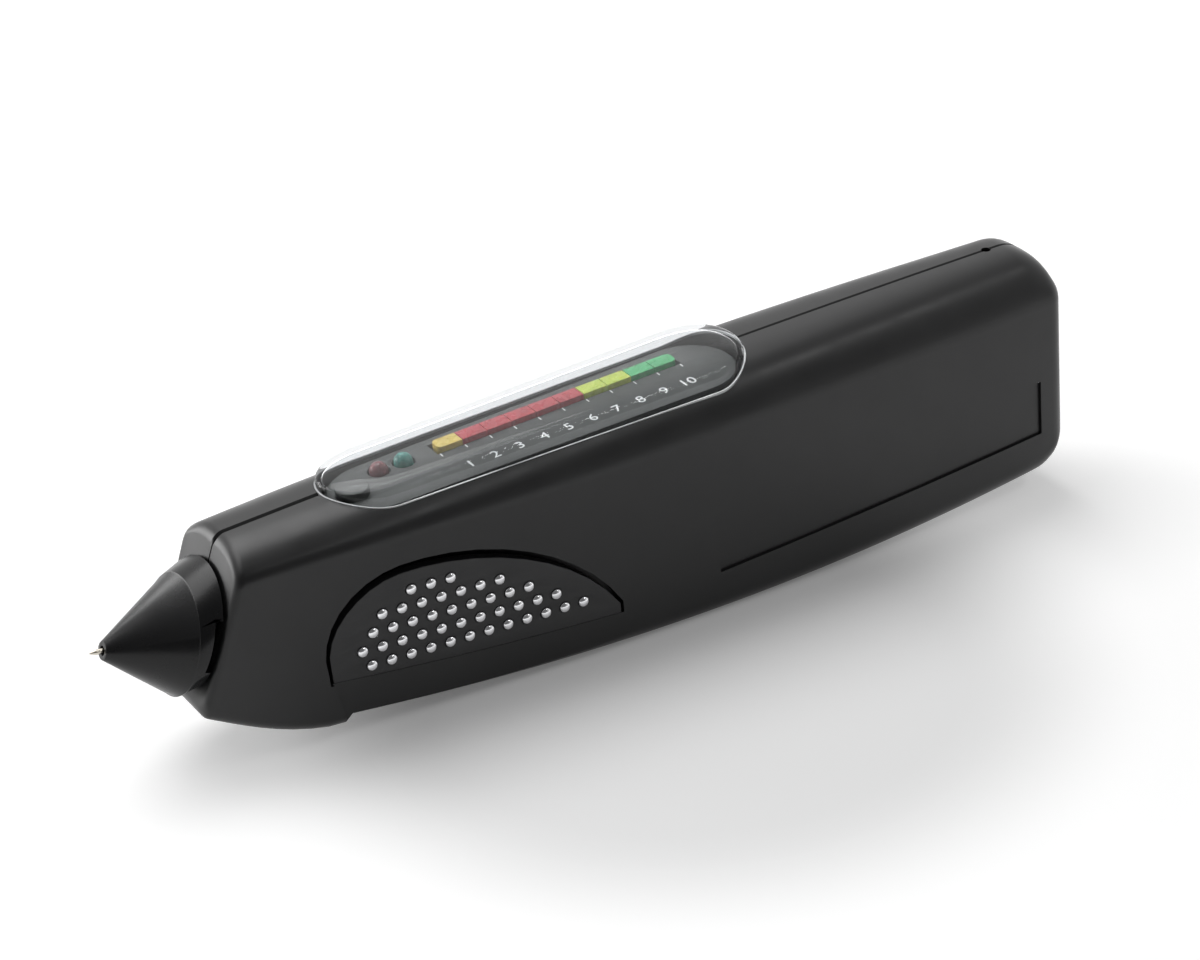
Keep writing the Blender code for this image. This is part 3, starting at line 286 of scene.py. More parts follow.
# Power switch and socket
switch_x = 8.0 * MM
switch_z = -1.0 * MM
slider_length = 4.4 * MM
slider_height = 3.4 * MM
slider_travel = 2.6 * MM
slider_inset = 0.5 * MM
slot_dish_depth = 0.9 * MM
slot_dish_margin = 2.2 * MM
socket_z = -7.5 * MM
socket_radius = 3.2 * MM
socket_bore_radius = 1.8 * MM
socket_bore_depth = 6.0 * MM
socket_length = 8.0 * MM
socket_flange_radius = 4.4 * MM
socket_flange_length = 1.2 * MM

# Label recess on the shown side
label_front = 14.7 * MM
label_rear_margin = 5.5 * MM
label_rear = casing_rear - label_rear_margin
label_bottom_rise = 8.85 * MM
label_bottom = belly_low + label_bottom_rise
label_top = -7.1 * MM
label_recess = 0.45 * MM

# Fasteners
screw_front_setback = 11.7 * MM
screw_front_rise = 5.0 * MM
screw_middle_setback = 12.5 * MM
screw_middle_rise = 7.0 * MM
screw_rear_setback = 7.2 * MM
screw_rear_rise = 8.5 * MM
screw_rear_drop = 4.0 * MM
screw_places = [
    (casing_front + screw_front_setback, belly_front + screw_front_rise),
    (cell_front - screw_middle_setback, belly_low + screw_middle_rise),
    (casing_rear - screw_rear_setback, shoulder_rear - screw_rear_drop),
    (casing_rear - screw_rear_setback, belly_low + screw_rear_rise),
]
screw_radius = 1.0 * MM
screw_head_radius = 2.0 * MM
screw_head_height = 1.4 * MM
screw_length = 12.0 * MM
screw_sink = 3.2 * MM
boss_radius = 2.9 * MM
strap_hole_radius = 0.8 * MM
strap_hole_setback = 8.5 * MM
strap_hole_depth = 3.0 * MM

# Finishing details
fine_end_steps = 40
fine_cover_steps = 20
fine_round_sides = 32
fine_nose_sides = 96
stud_round_sides = 20
dome_steps = 6
corner_rounds = 5
small_fillet = 0.1 * MM
nose_fillet = 0.12 * MM
boss_fillet = 0.3 * MM
panel_edge = 0.08 * MM
grip_edge = 0.12 * MM
bar_edge = 0.08 * MM
bar_show_gap = 0.1 * MM
bar_corner_radius = 0.06 * MM
bar_end_radius = 0.9 * MM
stud_show_radius = 0.9 * MM
number_height = 2.9 * MM
number_y = -4.6 * MM
print_height = 0.02 * MM
number_steps = 3
tick_gap = 0.5 * MM
tick_length = 0.9 * MM
tick_width = 0.18 * MM
ridge_count = 4
ridge_pitch = 0.9 * MM
ridge_width = 0.4 * MM
ridge_height = 0.35 * MM
ridge_margin = 0.35 * MM
recess_reach = 1.1 * MM
recess_width = 0.4 * MM
recess_depth = 0.7 * MM
cell_bare = 0.6 * MM
pad_low_gap = 0.0
# Thin light band along the cover's rim: a painted highlight for the bright line at its edge
rim_width = 0.24 * MM
rim_rise = 0.1 * MM
rim_drop = 0.3 * MM

# Fine steps of the finished shells
node_weld_distance = 0.002 * MM
fillet_room_share = 0.45
fillet_steps = 3
edge_rounds = 2
soft_edge_angle = math.radians(40)
fine_arch_steps = 14
fine_corner_steps = 8
fine_shoulder_steps = 6
fine_edge_steps = 7
fine_rear_steps = 12
fine_body_stations = 60
fine_chin_stations = 8
groove_front_half = 0.33 * MM
groove_front_depth = 0.5 * MM
groove_rear_half = 0.16 * MM
groove_rear_depth = 0.22 * MM
groove_change_x = -10.0 * MM
groove_change_length = 20.0 * MM
seam_bottom_depth = 0.15 * MM

# Textures of the materials
texture_low = 0.3
texture_high = 0.7
tint_low = 0.35
tint_high = 0.65
patch_grain = 60.0
gloss_grain = 220.0
grain_detail = 2.0
metal_grain = 400.0
wear_grain = 900.0
metal_dark_share = 0.9
cover_grain = 90.0
cover_rough = (0.005, 0.015)
cover_shadow = (0.93, 0.94, 0.94, 1.0)
cover_gloss = {"Base Color": (0.86, 0.87, 0.88, 1.0), "Transmission Weight": 1.0, "IOR": 1.03,
               "Coat Weight": 0.8, "Coat Roughness": 0.02, "Coat IOR": 1.3}
lens_grain = 500.0
lens_gloss_grain = 700.0
lens_rough = (0.22, 0.34)
lens_body = {"Subsurface Weight": 0.15, "Subsurface Scale": 1.0 * MM}

# Camera
camera_place = (-0.220202, -0.382328, 0.258394)
camera_azimuth = math.radians(30)
camera_elevation = math.radians(28)
camera_roll = math.radians(3)
camera_lens = 96.15
camera_sensor = 36.0
camera_clip = 10 * MM

# Studio
floor_size = 6.0
floor_paper = {"Base Color": (0.82, 0.82, 0.82, 1.0), "Roughness": 0.9}
plain_white = (1.0, 1.0, 1.0, 1.0)
# The floor glows less within an ellipse about this middle, under and in front of the tester: there the cast shadow
# shows, and the weaker glow also darkens the floor itself, a painted shade
floor_middle = (0.0, -0.028, 0.0)
floor_reach = (1 / 0.074, 1 / 0.068, 1.0)
floor_near = 0.55
floor_far = 1.0
floor_glow_near = 0.11
floor_glow_far = 0.37
floor_wide_near = 3.0
floor_wide_far = 14.0
floor_wide_glow = 0.8
world_level = 0.25
dark_way = (-0.44, -0.76, 0.47)
dark_start = -0.1
dark_end = 0.8
dark_share = 0.85
light_target = (0.0, 0.0, 0.02)
softboxes = [
    ("top_box", (-0.1, 0.35, 0.8), (0.8, 0.6), 5.0),
    ("back_box", (-0.62, 0.73, 0.2), (0.6, 0.45), 4.4),
    ("strip_box", (0.44, -0.47, 0.78), (0.5, 0.03), 0.7),
]


def mix(start, end, share):
    return start + (end - start) * share


def between(start, end, count):
    """Values in even steps between two others, without the two."""
    return [mix(start, end, step / (count + 1)) for step in range(1, count + 1)]


def turns(sweep, steps, start=0.0, first=0):
    """Angles in even steps over a sweep."""
    return [start + sweep * step / steps for step in range(first, steps + 1)]


def ease(share):
    share = min(max(share, 0.0), 1.0)
    return share * share * (3 - 2 * share)


def round_off(distance, radius):
    """How far an edge of this radius has drawn in, at this distance from the end."""
    if distance >= radius:
        return 0.0
    return radius - math.sqrt(max(radius ** 2 - (radius - max(distance, 0.0)) ** 2, 0.0))


# Lines of the casing
def top_line(x):
    share = (x - casing_front) / (casing_rear - casing_front)
    return mix(top_front, top_rear, share) + 4 * top_crown * share * (1 - share)


def belly_line(x):
    share = (x - belly_low_x) / (casing_front - belly_low_x)
    return belly_low + (belly_front - belly_low) * share ** 2


def bottom_line(x):
    step_end = chin_end + chin_step_run
    if x >= step_end:
        return belly_line(x)
    chin_low = belly_line(chin_end) - chin_depth
    if x > chin_end:
        return mix(chin_low, belly_line(step_end), (x - chin_end) / chin_step_run)
    share = (chin_end - x) / (chin_end - casing_front)
    return chin_low + chin_rise * share ** chin_curve_share


def half_width(x):
    if x < widest_x:
        return widest_half - front_taper * ((x - widest_x) / (casing_front - widest_x)) ** 2
    return widest_half - rear_taper * ((x - widest_x) / (casing_rear - widest_x)) ** 2


def three_way(x, front, middle, rear):
    """A value that eases from the front over the middle to the rear."""
    if x < shoulder_middle_x:
        return mix(front, middle, ease((x - casing_front) / (shoulder_middle_x - casing_front)))
    return mix(middle, rear, ease((x - shoulder_middle_x) / (casing_rear - shoulder_middle_x)))


def skin_height(x, across):
    """Height of the casing's arched top, away from its rounded ends."""
    top = top_line(x)
    shoulder = three_way(x, shoulder_front, shoulder_middle, shoulder_rear)
    power = three_way(x, arch_front_share, arch_middle_share, arch_rear_share)
    return top - (top - shoulder) * (abs(across) / half_width(x)) ** power


def lean_at(station):
    return math.tan(front_lean) * (1 - ease((station - casing_front) / lean_length))


# The tester's own frame in the world, from its slider's axis and its door's hinge
rib_middle = (cell_heights[0] + cell_heights[-1]) / 2
door_hinge = Vector((door_front + seat_gap, half_width(door_front), rib_middle))
slide_axis = Vector(joints["power_slide"]["axis"])
tester_turn = Matrix.Rotation(-math.atan2(slide_axis.z, slide_axis.x), 4, "Y")
tester_place = Vector(joints["battery_door_hinge"]["pos_m"]) - tester_turn @ door_hinge
world_from_tester = Matrix.Translation(tester_place) @ tester_turn


# Meshes, made in the tester's own frame
def mesh_from(shape, name="shape"):
    bmesh.ops.recalc_face_normals(shape, faces=shape.faces)
    mesh = bpy.data.meshes.new(name)
    shape.to_mesh(mesh)
    shape.free()
    return mesh


def joined(meshes):
    """Several closed meshes as one."""
    shape = bmesh.new()
    for mesh in meshes:
        shape.from_mesh(mesh)
    return mesh_from(shape)


def moved(mesh, matrix):
    mesh.transform(matrix)
    if matrix.determinant() < 0:
        mesh.flip_normals()
    return mesh


def box(low, high):
    shape = bmesh.new()
    low, high = Vector(low), Vector(high)
    fit = Matrix.Translation((low + high) / 2) @ Matrix.Diagonal((*(high - low), 1.0))
    bmesh.ops.create_cube(shape, size=1.0, matrix=fit)
    return mesh_from(shape)


def rod(start, end, radius):
    start, end = Vector(start), Vector(end)
    turn = (end - start).to_track_quat("Z", "Y").to_matrix().to_4x4()
    shape = bmesh.new()
    bmesh.ops.create_cone(shape, cap_ends=True, segments=fine_round_sides,
                          radius1=radius, radius2=radius, depth=(end - start).length,
                          matrix=Matrix.Translation((start + end) / 2) @ turn)
    return mesh_from(shape)


def cross_rod(x, z, start, end, radius):
    return rod((x, start, z), (x, end, z), radius)


def block(x, z, half_length, half_height, near, far):
    """A box about a place seen from the side, between two depths across the tester."""
    return box((x - half_length, near, z - half_height), (x + half_length, far, z + half_height))


def loft(rings, hoop=False):
    """A skin through rings of equal point counts. Its ends are capped, or joined as a hoop."""
    shape = bmesh.new()
    rows = [[shape.verts.new(point) for point in ring] for ring in rings]
    for row, following in zip(rows, rows[1:] + (rows[:1] if hoop else [])):
        for index in range(len(row)):
            after = (index + 1) % len(row)
            shape.faces.new((row[index], row[after], following[after], following[index]))
    if not hoop:
        shape.faces.new(rows[0])
        shape.faces.new(reversed(rows[-1]))
    return mesh_from(shape)


def filleted(points, radius, closed=True):
    """An outline or profile with each corner turned into a small arc."""
    if radius <= 0:
        return list(points)
    rounded = []
    count = len(points)
    for index, point in enumerate(points):
        if not closed and index in (0, count - 1):
            rounded.append(tuple(point))
            continue
        here = Vector(point)
        before, after = Vector(points[index - 1]), Vector(points[(index + 1) % count])
        into, out = (before - here), (after - here)
        turn = into.angle(out)
        reach = min(radius / math.tan(turn / 2), into.length * fillet_room_share,
                    out.length * fillet_room_share)
        start, end = here + into.normalized() * reach, here + out.normalized() * reach
        for step in range(fillet_steps + 1):
            share = step / fillet_steps
            rounded.append(tuple(start.lerp(here, share).lerp(here.lerp(end, share), share)))
    return rounded


def turned(profile, origin, direction, fillet=0.0, sides=fine_round_sides):
    """A profile of (radius, height) from the top down, turned about an axis from origin."""
    closed = profile[0][0] > 0
    points = filleted(profile, fillet, closed)
    shape = bmesh.new()
    verts = [shape.verts.new((radius, 0.0, height)) for radius, height in points]
    pairs = list(zip(verts, verts[1:])) + ([(verts[-1], verts[0])] if closed else [])
    edges = [shape.edges.new(pair) for pair in pairs]
    bmesh.ops.spin(shape, geom=verts + edges, cent=(0.0, 0.0, 0.0), axis=(0.0, 0.0, 1.0),
                   angle=2 * math.pi, steps=sides, use_merge=True)
    bmesh.ops.remove_doubles(shape, verts=shape.verts, dist=weld_distance)
    turn = Vector(direction).to_track_quat("Z", "Y").to_matrix().to_4x4()
    bmesh.ops.transform(shape, matrix=Matrix.Translation(origin) @ turn, verts=shape.verts)
    return mesh_from(shape)


def flat(outlines, low, high, axis, edge=0.0):
    """Flat outlines, holes among them, given thickness along Z or Y, with rounded edges."""
    curve = bpy.data.curves.new("flat", "CURVE")
    curve.dimensions = "2D"
    curve.fill_mode = "BOTH"
    curve.extrude = (high - low) / 2 - edge
    curve.bevel_depth = edge
    curve.bevel_resolution = edge_rounds
    curve.offset = -edge
    for outline in outlines:
        spline = curve.splines.new("POLY")
        spline.points.add(len(outline) - 1)
        for point, (across, along) in zip(spline.points, outline):
            point.co = (across, along, 0.0, 1.0)
        spline.use_cyclic_u = True
    mesh = evaluated(bpy.data.objects.new("flat", curve))
    shape = bmesh.new()
    shape.from_mesh(mesh)
    bmesh.ops.remove_doubles(shape, verts=shape.verts, dist=weld_distance)
    if edge == 0:
        bmesh.ops.dissolve_limit(shape, angle_limit=flat_angle, verts=shape.verts,
                                 edges=shape.edges)
    bmesh.ops.translate(shape, verts=shape.verts, vec=(0.0, 0.0, (low + high) / 2))
    if axis == "Y":
        stand = Matrix(((1, 0, 0), (0, 0, 1), (0, 1, 0))).to_4x4()
        bmesh.ops.transform(shape, matrix=stand, verts=shape.verts)
    return mesh_from(shape)


def evaluated(thing, tools=()):
    """The thing's mesh as its modifiers leave it. The thing and its tools are then removed."""
    for item in (thing, *tools):
        scene.collection.objects.link(item)
    bpy.context.view_layer.update()
    seen = thing.evaluated_get(bpy.context.evaluated_depsgraph_get())
    mesh = bpy.data.meshes.new_from_object(seen)
    for item in (thing, *tools):
        bpy.data.objects.remove(item, do_unlink=True)
    return mesh


def carved(mesh, steps):
    """The mesh after Boolean steps, each an operation and the mesh it works with."""
    thing = bpy.data.objects.new("carved", mesh)
    tools = []
    for operation, tool_mesh in steps:
        tool = bpy.data.objects.new("tool", tool_mesh)
        tools.append(tool)
        step = thing.modifiers.new(operation, "BOOLEAN")
        step.operation = operation
        step.solver = "EXACT"
        step.object = tool
    return evaluated(thing, tools)


def softened(mesh, width):
    """The mesh with its sharp edges rounded."""
    thing = bpy.data.objects.new("softened", mesh)
    step = thing.modifiers.new("edges", "BEVEL")
    step.width = width
    step.segments = edge_rounds
    step.limit_method = "ANGLE"
    step.angle_limit = soft_edge_angle
    return evaluated(thing)


def welded(name):
    """The node's mesh in the tester's frame, its triangles joined again."""
    source = nodes[name].data
    mesh = bpy.data.meshes.new(f"{name}_skin")
    mesh.from_pydata([vertex.co for vertex in source.vertices], [],
                     [list(face.vertices) for face in source.polygons])
    shape = bmesh.new()
    shape.from_mesh(mesh)
    bmesh.ops.remove_doubles(shape, verts=shape.verts, dist=node_weld_distance)
    bmesh.ops.dissolve_limit(shape, angle_limit=flat_angle, verts=shape.verts, edges=shape.edges)
    bmesh.ops.transform(shape, matrix=world_from_tester.inverted(), verts=shape.verts)
    return mesh_from(shape)


def section(station, inset, arch_count, corner_count, seam, grooved):
    """Points from the seam on top, round one side, to the seam on the belly."""
    front_gap = station - casing_front - inset
    rear_gap = casing_rear - inset - station
    front_round = round_off(front_gap, front_edge_radius)
    lean = lean_at(station)
    top_x = station + lean * top_line(station)
    bottom_x = station + lean * bottom_line(station)
    top = top_line(top_x) - inset - front_round - round_off(rear_gap, rear_top_radius)
    bottom = bottom_line(bottom_x) + inset + front_round + round_off(rear_gap, rear_bottom_radius)
    width = half_width(station) - inset - front_round - round_off(rear_gap, rear_side_radius)
    shoulder = three_way(station, shoulder_front, shoulder_middle, shoulder_rear) - inset
    shoulder = min(shoulder, top - least_arch)
    power = three_way(station, arch_front_share, arch_middle_share, arch_rear_share)
    points = []
    for step in range(arch_count + 1):
        across = width * arch_reach_share * step / arch_count
        points.append((max(across, seam), top - (top - shoulder) * (across / width) ** power))
    if grooved:
        share = ease((station - groove_change_x) / groove_change_length)
        points[0] = (seam, top - mix(groove_front_depth, groove_rear_depth, share))
        points.insert(1, (seam + mix(groove_front_half, groove_rear_half, share), top))
    start, corner, finish = points[-1], (width, shoulder), (width, shoulder - shoulder_radius)
    for step in range(1, fine_shoulder_steps + 1):
        share = step / fine_shoulder_steps
        first = [mix(a, b, share) for a, b in zip(start, corner)]
        second = [mix(a, b, share) for a, b in zip(corner, finish)]
        points.append(tuple(mix(a, b, share) for a, b in zip(first, second)))
    share = ease((station - casing_front) / (casing_rear - casing_front))
    radius = mix(belly_edge_front, belly_edge_rear, share) - inset / 2
    low_width = width - side_draft
    for angle in turns(math.pi / 2, corner_count):
        points.append((low_width - radius * (1 - math.cos(angle)),
                       bottom + radius * (1 - math.sin(angle))))
    if grooved:
        points.append((seam + seam_bottom_depth, bottom))
        points.append((seam, bottom + seam_bottom_depth))
    else:
        points.append((seam, bottom))
    return [(station + lean * height, across, height) for across, height in points]


def station_over(bottom_x):
    """The station whose leaning section meets the belly at this X."""
    station = bottom_x
    for _ in range(solving_rounds):
        station = bottom_x - lean_at(station) * bottom_line(bottom_x)
    return station


def quarter_shares(steps):
    """Shares of a radius at which a quarter round is met in even turns."""
    return [1 - math.cos(angle) for angle in turns(math.pi / 2, steps)]


def outer_stations():
    stations = [casing_front + front_edge_radius * share
                for share in quarter_shares(fine_edge_steps)]
    step_start, step_end = station_over(chin_end), station_over(chin_end + chin_step_run)
    stations += between(stations[-1], step_start, fine_chin_stations) + [step_start, step_end]
    stations += between(step_end, casing_rear - rear_top_radius, fine_body_stations)
    return stations + [casing_rear - rear_top_radius * share
                       for share in reversed(quarter_shares(fine_rear_steps))]


def mirrored(points, side):
    return [(x, side * y, z) for x, y, z in points]


def casing_half(side):
    return loft([mirrored(section(station, 0.0, fine_arch_steps, fine_corner_steps,
                                  seam_gap / 2, True), side) for station in outer_stations()])


def inner_loft(inset):
    """The room inside the casing at this depth below its skin."""
    front = casing_front + inset + front_edge_radius
    rear = casing_rear - inset
    rings = []
    for share in cavity_shares:
        half = section(mix(front, rear, share), inset, cavity_arch_steps,
                       cavity_corner_steps, 0.0, False)
        rings.append(half + mirrored(half[-2:0:-1], -1))
    return loft(rings)


# Nose axis and its planes
def plane_out(lean):
    return Vector((-math.cos(lean), 0.0, math.sin(lean)))


def plane_up(lean):
    return Vector((math.sin(lean), 0.0, math.cos(lean)))


face_out = plane_out(front_lean)
face_at_collar = Vector((casing_front + math.tan(front_lean) * collar_lift, 0.0, collar_lift))
neck_back = face_at_collar + face_out * seat_gap
collar_back = face_at_collar + face_out * collar_gap
nose_base = Vector((casing_front - nose_base_reach, 0.0, nose_base_lift))
nose_apex = nose_base + Vector((-nose_cone_length, 0.0, nose_tip_rise))
nose_slant = nose_base - nose_apex
probe_axis = nose_slant.normalized()
guide_end = guide_start + guide_length
guide_outer = guide_bore_radius + guide_wall
guide_tilt = probe_axis.angle(-face_out)
face_distance = (face_at_collar - nose_apex).dot(face_out) / probe_axis.dot(face_out)
guide_flange_end = face_distance - guide_flange_radius * math.tan(guide_tilt) - seat_gap


def along_probe(distance):
    return nose_apex + probe_axis * distance


def nose_ring(centre, radius, lean):
    return [centre + Vector((0.0, 1.0, 0.0)) * radius * math.cos(angle)
            + plane_up(lean) * radius * math.sin(angle)
            for angle in turns(2 * math.pi, fine_nose_sides)[:-1]]


# Outlines of the window and the grips
def window_outline(inset):
    """The window's outline, drawn in: a slot with round ends, wider toward the rear."""
    half = window_half - inset
    points = []
    for centre, start in ((window_rear - inset - half, -math.pi / 2),
                          (window_front + inset + half, math.pi / 2)):
        for angle in turns(math.pi, fine_end_steps, start):
            x = centre + half * math.cos(angle)
            share = (x - window_front) / (window_rear - window_front)
            width = half * mix(window_front_share, window_rear_share, share)
            points.append((x, width * math.sin(angle)))
    return points


def dome_profile(radius, base, rise):
    """The round end of a turned piece, from its crown down to its full radius."""
    return [(radius * math.sin(angle), base + rise * math.cos(angle))
            for angle in turns(math.pi / 2, dome_steps)]


def circle(x, z, radius, sides):
    return [(x + radius * math.cos(angle), z + radius * math.sin(angle))
            for angle in turns(2 * math.pi, sides)[:-1]]


def grip_bottom(x):
    return belly_line(x) + grip_rise


def groove_width(share):
    """The groove's width along the grip's arc, from its rear end to its front end."""
    full = ease(share / groove_rear_share)
    return grip_groove * mix(full, groove_end_share,
                             ease((share - 1 + groove_front_share) / groove_front_share))


def grip_arc(margin, groove=False):
    """The grip's upper edge in X and Z, from rear to front, drawn in by a margin."""
    points = []
    for angle in turns(math.pi / 2, grip_rear_steps):
        across = max(math.cos(angle), 0.0) ** grip_rear_round_share
        rise = math.sin(angle) ** grip_rear_round_share
        points.append((grip_peak_x + grip_rear_reach * across,
                       grip_top - grip_rear_drop * (1 - rise)))
    for angle in turns(grip_front_turn, grip_front_steps, math.pi / 2, first=1):
        points.append((grip_peak_x + grip_front_reach * math.cos(angle),
                       grip_top - grip_front_drop * (1 - math.sin(angle))))
    drawn_in = []
    for number in range(1, len(points) - 1):
        before, (x, z), after = points[number - 1:number + 2]
        run = math.dist(before, after)
        width = margin + (groove_width(number / (len(points) - 1)) if groove else 0.0)
        drawn_in.append((x - (after[1] - before[1]) / run * width,
                         z + (after[0] - before[0]) / run * width))
    return [(x, z) for x, z in drawn_in if z > grip_bottom(x) + margin]


def grip_outline(margin, groove=False, low_margin=None):
    """The half-moon: its arc, and a lower edge that follows the belly."""
    low_margin = margin if low_margin is None else low_margin
    arc = grip_arc(margin, groove)
    points = list(arc)
    for step in range(grip_bottom_steps + 1):
        x = mix(arc[-1][0], arc[0][0], step / grip_bottom_steps)
        points.append((x, grip_bottom(x) + low_margin))
    return points


def grip_facet_outline():
    """The flat below the grip, which runs out to the rear and down past the belly."""
    arc = grip_arc(facet_lap)
    (rear_x, rear_z), (front_x, front_z) = arc[0], arc[-1]
    below = belly_low - cut_over
    return [(rear_x + facet_run, rear_z), (rear_x, rear_z), (front_x, front_z),
            (chin_end, belly_line(chin_end)), (chin_end, below), (rear_x + facet_run, below)]


def grip_place(side):
    """A matrix that lays a flat piece, made at y = 0, on the sloping grip plane."""
    front_y = half_width(grip_front) - grip_front_sink
    rear_y = half_width(grip_rear) - grip_rear_sink
    angle = math.atan2(rear_y - front_y, grip_rear - grip_front)
    draft = math.atan2(side_draft, grip_top - belly_low)
    turn = Matrix.Rotation(side * angle, 4, "Z") @ Matrix.Rotation(-side * draft, 4, "X")
    there = Matrix.Translation((grip_front, side * front_y, 0.0))
    return there @ turn @ Matrix.Translation((-grip_front, 0.0, 0.0))


def grip_slab(side, outlines, near, far, edge=0.0):
    """Flat outlines between two depths below the grip plane."""
    low, high = sorted((-side * near, -side * far))
    return flat(outlines, low, high, "Y", edge)


def stud_centres():
    """Rows of studs. Each row stops at its own share of the way from the peak to the rear."""
    centres = []
    for row, (end_share, offset) in enumerate(zip(stud_row_end_shares, stud_offset_shares)):
        along = offset * stud_pitch
        row_end = mix(grip_peak_x, grip_rear, end_share)
        while stud_first_x + along < row_end:
            centres.append((stud_first_x + along,
                            stud_first_z + row * stud_row_pitch + along * math.tan(stud_slope)))
            along += stud_pitch
    return centres


# Materials
def new_material(name, sockets):
    """A material whose shader has these constant values on its sockets."""
    material = bpy.data.materials.new(name)
    material.use_nodes = True
    shader = material.node_tree.nodes["Principled BSDF"]
    for socket, value in sockets.items():
        shader.inputs[socket].default_value = value
    return material, material.node_tree, shader


def add_node(tree, kind, **values):
    node = tree.nodes.new(kind)
    for key, value in values.items():
        if key in node.inputs:
            node.inputs[key].default_value = value
        else:
            setattr(node, key.lower(), value)
    return node


def coordinates(tree, kind):
    return tree.nodes.new("ShaderNodeTexCoord").outputs[kind]


def noise(tree, scale, detail=3.0):
    texture = add_node(tree, "ShaderNodeTexNoise", Scale=scale, Detail=detail)
    tree.links.new(coordinates(tree, "Object"), texture.inputs["Vector"])
    return texture.outputs["Fac"]


def map_range(tree, value, limits, smooth=False):
    """Maps a value by the limits (from low, from high, to low, to high)."""
    step = add_node(tree, "ShaderNodeMapRange")
    for socket, number in zip(("From Min", "From Max", "To Min", "To Max"), limits):
        step.inputs[socket].default_value = number
    if smooth:
        step.interpolation_type = "SMOOTHSTEP"
    tree.links.new(value, step.inputs["Value"])
    return step.outputs["Result"]


def combined(tree, operation, first, second):
    """What a math step makes of two values, each of them a socket or a plain number."""
    step = add_node(tree, "ShaderNodeMath", operation=operation)
    for socket, value in zip(step.inputs, (first, second)):
        if isinstance(value, float):
            socket.default_value = value
        else:
            tree.links.new(value, socket)
    return step.outputs["Value"]


def vector_step(tree, operation, value, constant=None):
    """A vector after one step of vector math, which may have a constant as its second value."""
    step = add_node(tree, "ShaderNodeVectorMath", operation=operation)
    if constant:
        step.inputs[1].default_value = constant
    tree.links.new(value, step.inputs[0])
    return step.outputs["Value" if operation in ("LENGTH", "DOT_PRODUCT") else "Vector"]


def roughened(tree, shader, grain, low, high):
    """Lets the gloss wander from low to high over a texture's usual range."""
    tree.links.new(map_range(tree, noise(tree, grain), (texture_low, texture_high, low, high)),
                   shader.inputs["Roughness"])


def final_surface(tree, surface):
    out = next(node for node in tree.nodes if node.type == "OUTPUT_MATERIAL")
    tree.links.new(surface, out.inputs["Surface"])


def tinted(tree, shader, grain, dark, light):
    """Lets the colour wander from dark to light."""
    ramp = tree.nodes.new("ShaderNodeValToRGB")
    for stop, place, colour in zip(ramp.color_ramp.elements, (tint_low, tint_high),
                                   (dark, light)):
        stop.position = place
        stop.color = (*colour, 1.0)
    tree.links.new(noise(tree, grain), ramp.inputs["Fac"])
    tree.links.new(ramp.outputs["Color"], shader.inputs["Base Color"])


def bump(tree, shader, value, depth):
    step = tree.nodes.new("ShaderNodeBump")
    step.inputs["Distance"].default_value = depth
    step.inputs["Strength"].default_value = 1.0
    tree.links.new(value, step.inputs["Height"])
    tree.links.new(step.outputs["Normal"], shader.inputs["Normal"])


def moulded(name, dark, light, rough_low, rough_high, grain, grain_depth, shine=0.5):
    """Moulded plastic: fine spark-eroded grain and slow patches of colour and gloss."""
    material, tree, shader = new_material(name, {"Specular IOR Level": shine})
    tinted(tree, shader, patch_grain, dark, light)
    roughened(tree, shader, gloss_grain, rough_low, rough_high)
    bump(tree, shader, noise(tree, grain, grain_detail), grain_depth)
    return material


def plated(name, colour, rough_low, rough_high):
    """Metal with faint wear in its gloss."""
    material, tree, shader = new_material(name, {"Metallic": 1.0})
    tinted(tree, shader, metal_grain, [channel * metal_dark_share for channel in colour], colour)
    roughened(tree, shader, wear_grain, rough_low, rough_high)
    return material


def clear_plastic(name):
    """Clear moulded plastic that lets light through to what it covers."""
    material, tree, shader = new_material(name, cover_gloss)
    roughened(tree, shader, cover_grain, *cover_rough)
    see_through = add_node(tree, "ShaderNodeBsdfTransparent")
    see_through.inputs["Color"].default_value = cover_shadow
    path = tree.nodes.new("ShaderNodeLightPath")
    mixer = tree.nodes.new("ShaderNodeMixShader")
    tree.links.new(path.outputs["Is Shadow Ray"], mixer.inputs["Fac"])
    tree.links.new(shader.outputs["BSDF"], mixer.inputs[1])
    tree.links.new(see_through.outputs["BSDF"], mixer.inputs[2])
    final_surface(tree, mixer.outputs["Shader"])
    return material


def lamp(name, dark, light):
    """Tinted, slightly cloudy lens of a lamp that is off."""
    material, tree, shader = new_material(name, lens_body)
    tinted(tree, shader, lens_grain, dark, light)
    roughened(tree, shader, lens_gloss_grain, *lens_rough)
    return material


